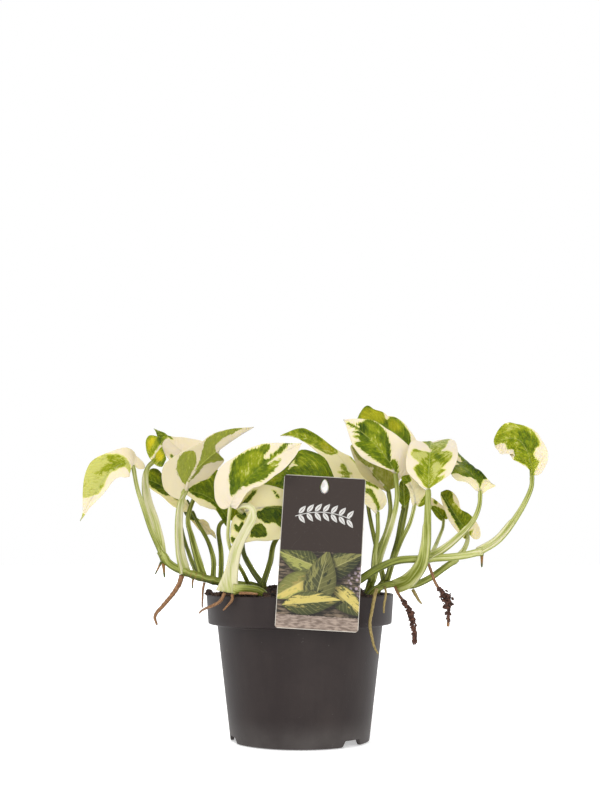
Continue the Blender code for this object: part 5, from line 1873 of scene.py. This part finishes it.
        84, 77, 34, 95), left=(-12, 8, -50, 16, -90, 27, -112, 39, -120, 98, -36, 102), patches=(GREEN(-18, -4,
        -18, 10, -96, 28, -82, 49, -82, 81, -80, 88, -38, 85, -10, 92, 10, 100, 42, 97, 64, 89, 74, 80, 90, 77,
        72, 74, 94, 71, 98, 66, 88, 59, 92, 54, 90, 47, 76, 39, 50, 38, 26, 30, 36, 22, 48, 17, 20, 7, 8, -5),
        DARK(56, 63, 64, 56, 80, 48, 72, 40, 30, 34, 2, 40, -10, 53, 14, 63), BRIGHT(40, 60, 54, 58, 48, 55, 28, 56),
        BRIGHT(26, 48, 48, 46, 38, 42, 20, 42), BRIGHT(70, 76, 76, 71, 54, 69, 44, 75))),
    Blade("leaf_right_low", (108, -5, 134), (99, -5, 147), (91, -4, 160), (-0.2, -0.9, 0.4), 21, tone=0.5, warm=0.2,
        right=(8, -19, 40, -24, 70, -11, 80, 5, 80, 20, 70, 33, 48, 48, 62, 63, 66, 77, 58, 89, 38, 98),
        left=(-26, -8, -46, -3, -56, 39, -46, 58, -20, 90), patches=(GREEN(-8, 104, 44, 101, 58, 89, 40, 75, 36, 61,
        48, 48, 74, 35, 74, 17, 20, 9, -30, 11, -12, 86), GREEN(-40, -5, -10, -2, 30, -1, 10, -7, -26, -8),
        BRIGHT(38, 78, 52, 62, 46, 44, 22, 39, 12, 56, 14, 73), DARK(0, 93, 4, 75, -10, 23, -32, 24, -34, 49,
        -24, 76))),
    Blade("leaf_right_small", (94, 8, 143), (88, 8, 150), (81, 8, 155), (-0.2, -0.9, 0.4), 11, tone=0.55,
        right=(40, -9, 78, 13, 90, 32, 80, 73, 56, 89), left=(-46, -1, -58, 21, -52, 46, -14, 89),
        patches=(GREEN(-20, 65, 22, 51, 68, 19, 58, -8, -32, -8, -60, 49), GREEN(54, 72, 86, 71, 90, 59, 56, 55,
        42, 65))),
    Blade("leaf_label_side", (49, -22, 147), (43, -24, 159), (31, -25, 164), (0.2, -0.9, 0.3), 24, tone=0.5, warm=0.5,
        slot="leaf_cream", right=(32, 3, 58, 14, 68, 27, 64, 39, 30, 87), left=(-16, -4, -34, 6, -66, 35, -72, 64,
        -44, 89), patches=(GREEN(2, 1, -8, 49, -22, 65, -2, 72, 20, 56, 16, 26, 18, 7), GREEN(44, 77, 52, 57, 62, 44,
        52, 43, 36, 56, 28, 70))),
    Blade("leaf_right_edge_on", (66, -16, 149.4), (66, -16.5, 157.5), (65.4, -17, 167.3), (0.6, -0.8, 0.1), 14,
        tone=0.5, ribbed=0.8, right=(42, 18, 64, 42, 56, 63, 38, 84, 20, 95), left=(-46, 15, -76, 40, -72, 65,
        -50, 86, -16, 100), patches=(ALL_GREEN,)),
    Blade("leaf_right_cream", (72, -30, 152), (70, -32, 161), (64, -32, 169), (0.2, -0.9, 0.3), 19, tone=0.5,
        warm=0.6, slot="leaf_cream", right=(34, -14, 76, -2, 98, 15, 90, 28, 64, 42, 52, 56, 48, 73, 34, 89),
        left=(-30, 0, -28, 88), patches=(GREEN(-10, 108, 26, 97, 28, 76, -36, 73, -50, 87), GREEN(28, -10, 40, 8,
        70, 17, 112, 17, 96, 1, 48, -14))),
    Blade("leaf_back_centre", (10, 45, 165), (5, 65, 178), (-5, 92, 162), (0, 0.2, 1), 32, tone=0.6,
        patches=GREEN_HEART),
    Blade("leaf_back_left", (-28, 40, 150), (-40, 60, 164), (-50, 84, 150), (-0.3, 0.2, 1), 32, tone=0.5,
        patches=GREEN_SIDE),
    Blade("leaf_back_right", (45, 35, 165), (58, 55, 180), (68, 80, 170), (0.3, 0.2, 1), 32, tone=0.7,
        patches=GREEN_PATCHES),
    Blade("leaf_back_low", (11, 48, 131), (0, 68, 139), (-11, 92, 124), (-0.1, 0.3, 1), 27, tone=0.4,
        patches=GREEN_PATCHES),
    Blade("leaf_back_low_right", (28, 36, 130), (33, 57, 137), (36, 80, 122), (0.1, 0.3, 1), 22, tone=0.5,
        slot="leaf_cream", patches=GREEN_TIP),
)

PLANTS = (
    Plant("vine_left",
        bare(((-12, -8, 80), (-18, -8, 91), (-27, -8, 98.5), (-37, -8, 100), (-48, -8, 101.5), (-61, -8, 104.5),
            (-75, -8, 109), (-84, -8, 114), (-90, -8, 122)), 2.7, 2.5,
            (0.8, 0.8, 0.8, 0.75, 0.7, 0.75, 0.55, 0.6, 0.4)), (
        Shoot(((-88, -9, 119), (-95, -11, 135), (-99.5, -11, 148), (-104, -11, 162), (-107, -10, 177)), 2.1, 1.3,
            (0.5, 0.35, 0.25, 0.2, 0.3), sheath=0.1),
        Shoot(((-87.5, -8, 116), (-90.5, -7, 129), (-94.5, -4, 142), (-99, 0, 155), (-101, 5, 168), (-99.5, 6, 176),
            (-95, 0, 180)), 2.5, 1.3, (0.6, 0.25, 0.05, 0.05, 0.15, 0.3, 0.45),
            swell=(0.9, 1.45, 1.7, 1.7, 1.35, 1.05, 1), sheath=0.75, wing=0.15, channel=(0.3, 0.3)),
        Shoot(((-74, -8, 108), (-76.8, -10, 121), (-77.5, -13, 138), (-76, -17, 152), (-72.3, -20, 161)), 2.9, 1.8,
            (0.25, 0.05, 0.0, 0.15, 0.4), flat=1.3, sheath=0.8, wing=0.3),
        Shoot(((-63, -7, 106), (-70, -1, 130), (-73, 4, 143), (-69, 12, 158), (-62, 20, 171)), 2.1, 1.2,
            (0.65, 0.55, 0.5), swell=(1.4, 0.95, 1, 1), sheath=0.5),
        Shoot(((-66, -6, 106), (-72, 8, 118), (-78, 20, 134), (-80, 27, 147), (-76, 23, 152)), 1.6, 0.9,
            (0.7, 0.8, 0.8)),
        Shoot(((-56, -7, 104), (-56, -2, 116), (-60, 6, 128), (-67, 11, 140), (-71, 13, 148)), 1.9, 1.1,
            (0.8, 0.65, 0.7)),
        Shoot(((-51, -7, 102), (-51, -3, 120), (-53, 2, 134), (-51.5, 4, 140), (-47, 3, 142)), 1.8, 1.2,
            (0.85, 0.8, 0.55)),
        Shoot(((-32, -9, 99), (-35.5, -19, 108), (-41, -26, 118), (-44.5, -31, 129), (-44, -35.5, 141),
            (-43, -38, 149.5)), 1.9, 1.3, (0.5, 0.25, 0.15, 0.05)),
        bud(((-88, -8, 117), (-87.5, -8, 111), (-87, -8, 105)), 1.6, 0.5),
        bud(((-89, -8, 115), (-91, -8, 111), (-93, -8, 107)), 0.9, 0.4),
        bud(((-68, -8, 106), (-69, -8, 102), (-69, -8, 98)), 0.9, 0.4),
    )),
    Plant("cutting_front_left",
        bare(((-14, -36, 80), (-18, -38, 90), (-25, -41, 97), (-33, -42, 98.6), (-41, -42, 98.6)), 2.6, 3.1,
            (0.75, 0.75, 0.7, 0.6, 0.35)), (
        Shoot(((-45, -42.5, 96.8), (-43.6, -42, 104.4), (-41.7, -42, 113), (-39.9, -42.5, 121.7), (-36.8, -43, 129),
            (-32.8, -43.5, 136.4), (-29.7, -44, 142.6), (-29.2, -44, 147.3), (-32.2, -43, 150), (-36.5, -41, 149.8),
            (-37.8, -38, 148), (-36, -35, 146)), 1, 1, (0.1, -0.05, -0.1, -0.1, 0, -0.08, -0.12, -0.05, 0.15),
            flat=1.8, channel=(0.5, 0.25), swell=(3.9, 2.9, 2.2, 2.2, 2, 1.9, 2, 1.65, 1.5, 1.4, 1.3, 1.2),
            sheath=0.6, wing=0.4, face=(0.3, -0.9, 0.3)),
    ), slot="stem_pale"),
    Plant("cutting_left_middle",
        bare(((-20, -17, 80), (-21, -17.5, 90), (-23, -18, 98), (-24, -18, 102)), 2.3, 2.2, (0.8, 0.8)), (
        Shoot(((-23.5, -17.5, 101), (-19, -14, 115), (-16, -13, 128), (-5, -12, 142), (8, -13, 149), (16, -16, 152)),
            2.1, 1.2, (0.8, 0.65, 0.7)),
        Shoot(((-24, -17, 101), (-31, -8, 110), (-37, 2, 122), (-37, 20, 135), (-31, 33, 143), (-28, 40, 150)),
            2, 1.2, (0.95, 0.95, 0.7)),
    )),
    Plant("vine_right_upper",
        bare(((18, -40, 80), (22, -41, 90), (28, -42, 98), (40, -42, 106.5), (49, -42, 112), (61, -42, 116.5),
            (78, -42, 117.5), (98, -42, 119), (112, -42, 122)), 2.5, 2.3,
            (0.75, 0.75, 0.8, 0.8, 0.78, 0.7, 0.42, 0.3, 0.25)), (
        Shoot(((110, -42, 121.5), (123, -42, 130), (135, -42, 146), (142, -42, 160), (143, -42, 169)), 2.5, 1.3,
            (0.2, 0.2, 0.25, 0.35, 0.45), swell=(1, 1.15, 1, 1), sheath=0.42, wing=0.5),
        Shoot(((79, -42, 118), (88, -41, 123), (97, -39, 130), (107, -34, 140), (112, -30, 150), (113, -28, 160)),
            2.7, 1.2, (0.45, 0.3, 0.25, 0.3, 0.4, 0.3), sheath=0.55, wing=0.35),
        Shoot(((79, -41, 118), (84, -26, 123), (89, -8, 130), (93, 4, 137), (94, 8, 143)), 1.6, 0.9,
            (0.5, 0.3, 0.35)),
        bud(((112, -42, 121), (112, -42, 117), (112, -42, 112)), 1.3, 0.5),
    )),
    Plant("vine_right_lower",
        bare(((38, -28, 82), (42, -29, 92), (48, -30, 98.5), (58, -30, 101.5), (70, -30, 100.6), (81, -28, 105),
            (90, -25.5, 111), (99, -22, 117)), 2.4, 2, (0.7, 0.7, 0.65, 0.6, 0.6, 0.65, 0.6, 0.45)), (
        Shoot(((97, -23, 116), (103, -20.5, 122), (106.5, -15, 128), (108, -5, 134)), 2, 1.2, (0.4, 0.25, 0.3)),
        Shoot(((60, -31, 100), (68, -38, 104.5), (74.5, -47, 114), (77, -49, 126), (78, -47, 140), (78.5, -44, 151),
            (79, -42, 160)), 3.5, 1.6, (0.5, 0.45, 0.4, 0.45, 0.35, 0.4), flat=1.5,
            swell=(0.85, 1.1, 1.1, 1.05, 1, 1, 1), sheath=0.66, wing=0.35, face=(0.5, -0.8, 0.3)),
    )),
    Plant("cutting_right_middle",
        bare(((38, -14, 80), (41, -16, 90), (44, -18, 99), (46, -20, 105)), 2.4, 2.3, (0.7, 0.7)), (
        Shoot(((45, -18, 101), (49, -16, 120), (55, -13, 134), (58, -9, 148), (57, -6, 161)), 2.0, 1.3,
            (0.55, 0.35, 0.35, 0.45)),
        Shoot(((46, -21, 103), (47, -24, 120), (49, -24, 134), (49, -22, 147)), 1.9, 1.2, (0.6, 0.4, 0.5),
            swell=(1.1, 1, 1)),
        Shoot(((46, -20, 103), (52, -22, 122), (58, -25, 140), (61, -26, 156), (60, -25, 171)), 2, 1.4,
            (0.6, 0.45, 0.2, 0.35, 0.55), sheath=0.6),
    )),
    Plant("cutting_right_back",
        bare(((44, -2, 80), (47, -3, 90), (51, -4, 98), (56, -5, 104)), 2.3, 2.2, (0.7, 0.7)), (
        Shoot(((56, -6, 103), (59, -10, 117), (62, -14, 129), (64, -16, 141), (66, -16, 149.4)), 1.8, 1.2,
            (0.85, 0.8, 0.85)),
        Shoot(((56, -7, 103), (60, -17, 118), (64, -23, 129), (69, -28, 140), (72, -30, 152)), 1.9, 1.1,
            (0.65, 0.5, 0.2)),
        Shoot(((56, -4, 104), (62, 3, 120), (68, 8, 142), (71, 8, 162), (70, 8, 176)), 1.9, 1.3, (0.55, 0.5)),
        Shoot(((54, -3, 103), (50, 12, 125), (46, 25, 148), (45, 35, 165)), 1.8, 1.2, (0.6, 0.6)),
    )),
    Plant("cutting_back",
        bare(((16, 14, 80), (17, 15, 90), (18, 16, 98), (18.5, 16.5, 103)), 2.6, 2.6, (0.8, 0.8)), (
        Shoot(((19, 15, 102), (28, 10, 125), (36, 10, 146), (38, 10, 160)), 1.9, 1.2, (0.75, 0.7)),
        Shoot(((18, 18, 102), (14, 28, 125), (11, 36, 148), (10, 45, 165)), 1.9, 1.2, (0.7, 0.6)),
        Shoot(((18, 18, 101), (16, 31, 113), (13, 41, 123), (11, 48, 131)), 1.7, 1.1, (0.7, 0.6)),
        Shoot(((20, 18, 101), (25, 25, 112), (27.5, 31, 122), (28, 36, 130)), 1.7, 1.1, (0.6, 0.5)),
    )),
)

ROOTS = (
    AerialRoot("root_left_long", ((-75.8, -8, 106.4), (-77.8, -8, 100.4), (-82, -8, 94), (-88, -8, 87), (-93, -9, 81),
        (-92, -9, 74)), (1.4, 1.35, 1.2, 1.1, 0.9, 0.5), soil=0.12),
    AerialRoot("root_left_thin", ((-61.4, -8.5, 101.8), (-62.5, -9, 95), (-62.3, -9, 86)), (0.7, 0.6, 0.4)),
    AerialRoot("root_front_long", ((-46.3, -44, 96.35), (-49, -42.5, 91.5), (-54, -39, 88.5), (-58, -35, 86.5),
        (-63, -30, 83.5)), (0.9, 0.9, 0.8, 0.7, 0.4), soil=0.1),
    AerialRoot("root_front_short", ((-41.5, -45, 95.4), (-42, -47, 92), (-47, -45, 86)), (0.75, 0.7, 0.4)),
    AerialRoot("root_front_flat", ((-37, -45.3, 96.3), (-32, -49, 96.4), (-26, -52, 96)), (0.8, 0.8, 0.5)),
    AerialRoot("root_right_clotted", ((79, -42, 114.6), (81, -43, 109), (83, -44, 103), (86, -45, 98),
        (90, -45, 93.5), (91, -45, 86), (91, -45, 76)), (0.9, 0.9, 0.9, 1.4, 4.4, 2.6, 0.6), soil=1),
    AerialRoot("root_right_crumbly", ((59.2, -32.4, 99.8), (61, -37, 95.5), (64, -40, 91), (67.5, -41, 86),
        (69.5, -41, 78), (71, -41, 65)), (0.7, 0.7, 1.3, 2.2, 2.3, 1.6), soil=0.95),
    AerialRoot("root_right_tan", ((70.4, -30.5, 98.15), (72, -31, 95), (74, -31, 91.5), (76, -31, 89)),
        (0.9, 0.9, 0.7, 0.4), slot="root_olive"),
    AerialRoot("root_front_olive", ((47.5, -32.5, 97.7), (47, -42, 98), (45.5, -47.5, 94), (44, -48.5, 85),
        (43, -47, 77), (44, -45, 68), (48, -43, 59)), (0.8, 0.9, 0.9, 0.8, 0.8, 0.7, 0.4), slot="root_olive"),
    AerialRoot("root_front_olive_short", ((52.8, -32.4, 99.6), (53, -40, 97), (52, -43, 91), (51.5, -44, 84)),
        (0.6, 0.6, 0.6, 0.4), slot="root_olive"),
)


def measured() -> list[list[float]]:
    """The lowest and highest corner of what is shown, as plain numbers."""
    bpy.context.view_layer.update()
    return [[float(value) for value in corner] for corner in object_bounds()]


def main() -> None:
    """Builds every piece over the frame, then the studio."""
    logging.basicConfig(level=logging.INFO, format="%(name)s %(message)s")
    drawn = measured()
    leaf, stem, peat = LeafFinish().build(), StemFinish().build(), PeatFinish().build()
    barks = {
        "root_brown": RootFinish("brown_bark", (0.12, 0.05, 0.016), (0.30, 0.15, 0.055)).build(),
        "root_olive": RootFinish("olive_bark", (0.17, 0.12, 0.03), (0.36, 0.27, 0.09)).build(),
    }
    label = PictureLabel()
    made = [NurseryPot().build(PotFinish().build()), PeatBed().build(peat)]
    made += [label.build_card(CardFinish().build()), label.build_stake(StakeFinish().build())]
    made += [plant.build(stem) for plant in PLANTS]
    made += [root.build(barks[root.slot]) for root in ROOTS]
    made += [blade.build(leaf) for blade in BLADES]
    Studio().build(FloorFinish().build())
    for piece in made:
        LOG.info("%s: %d faces", piece.name, len(piece.data.polygons))
    {"cad": drawn, "visual": measured()}


if __name__ == "__main__":
    main()
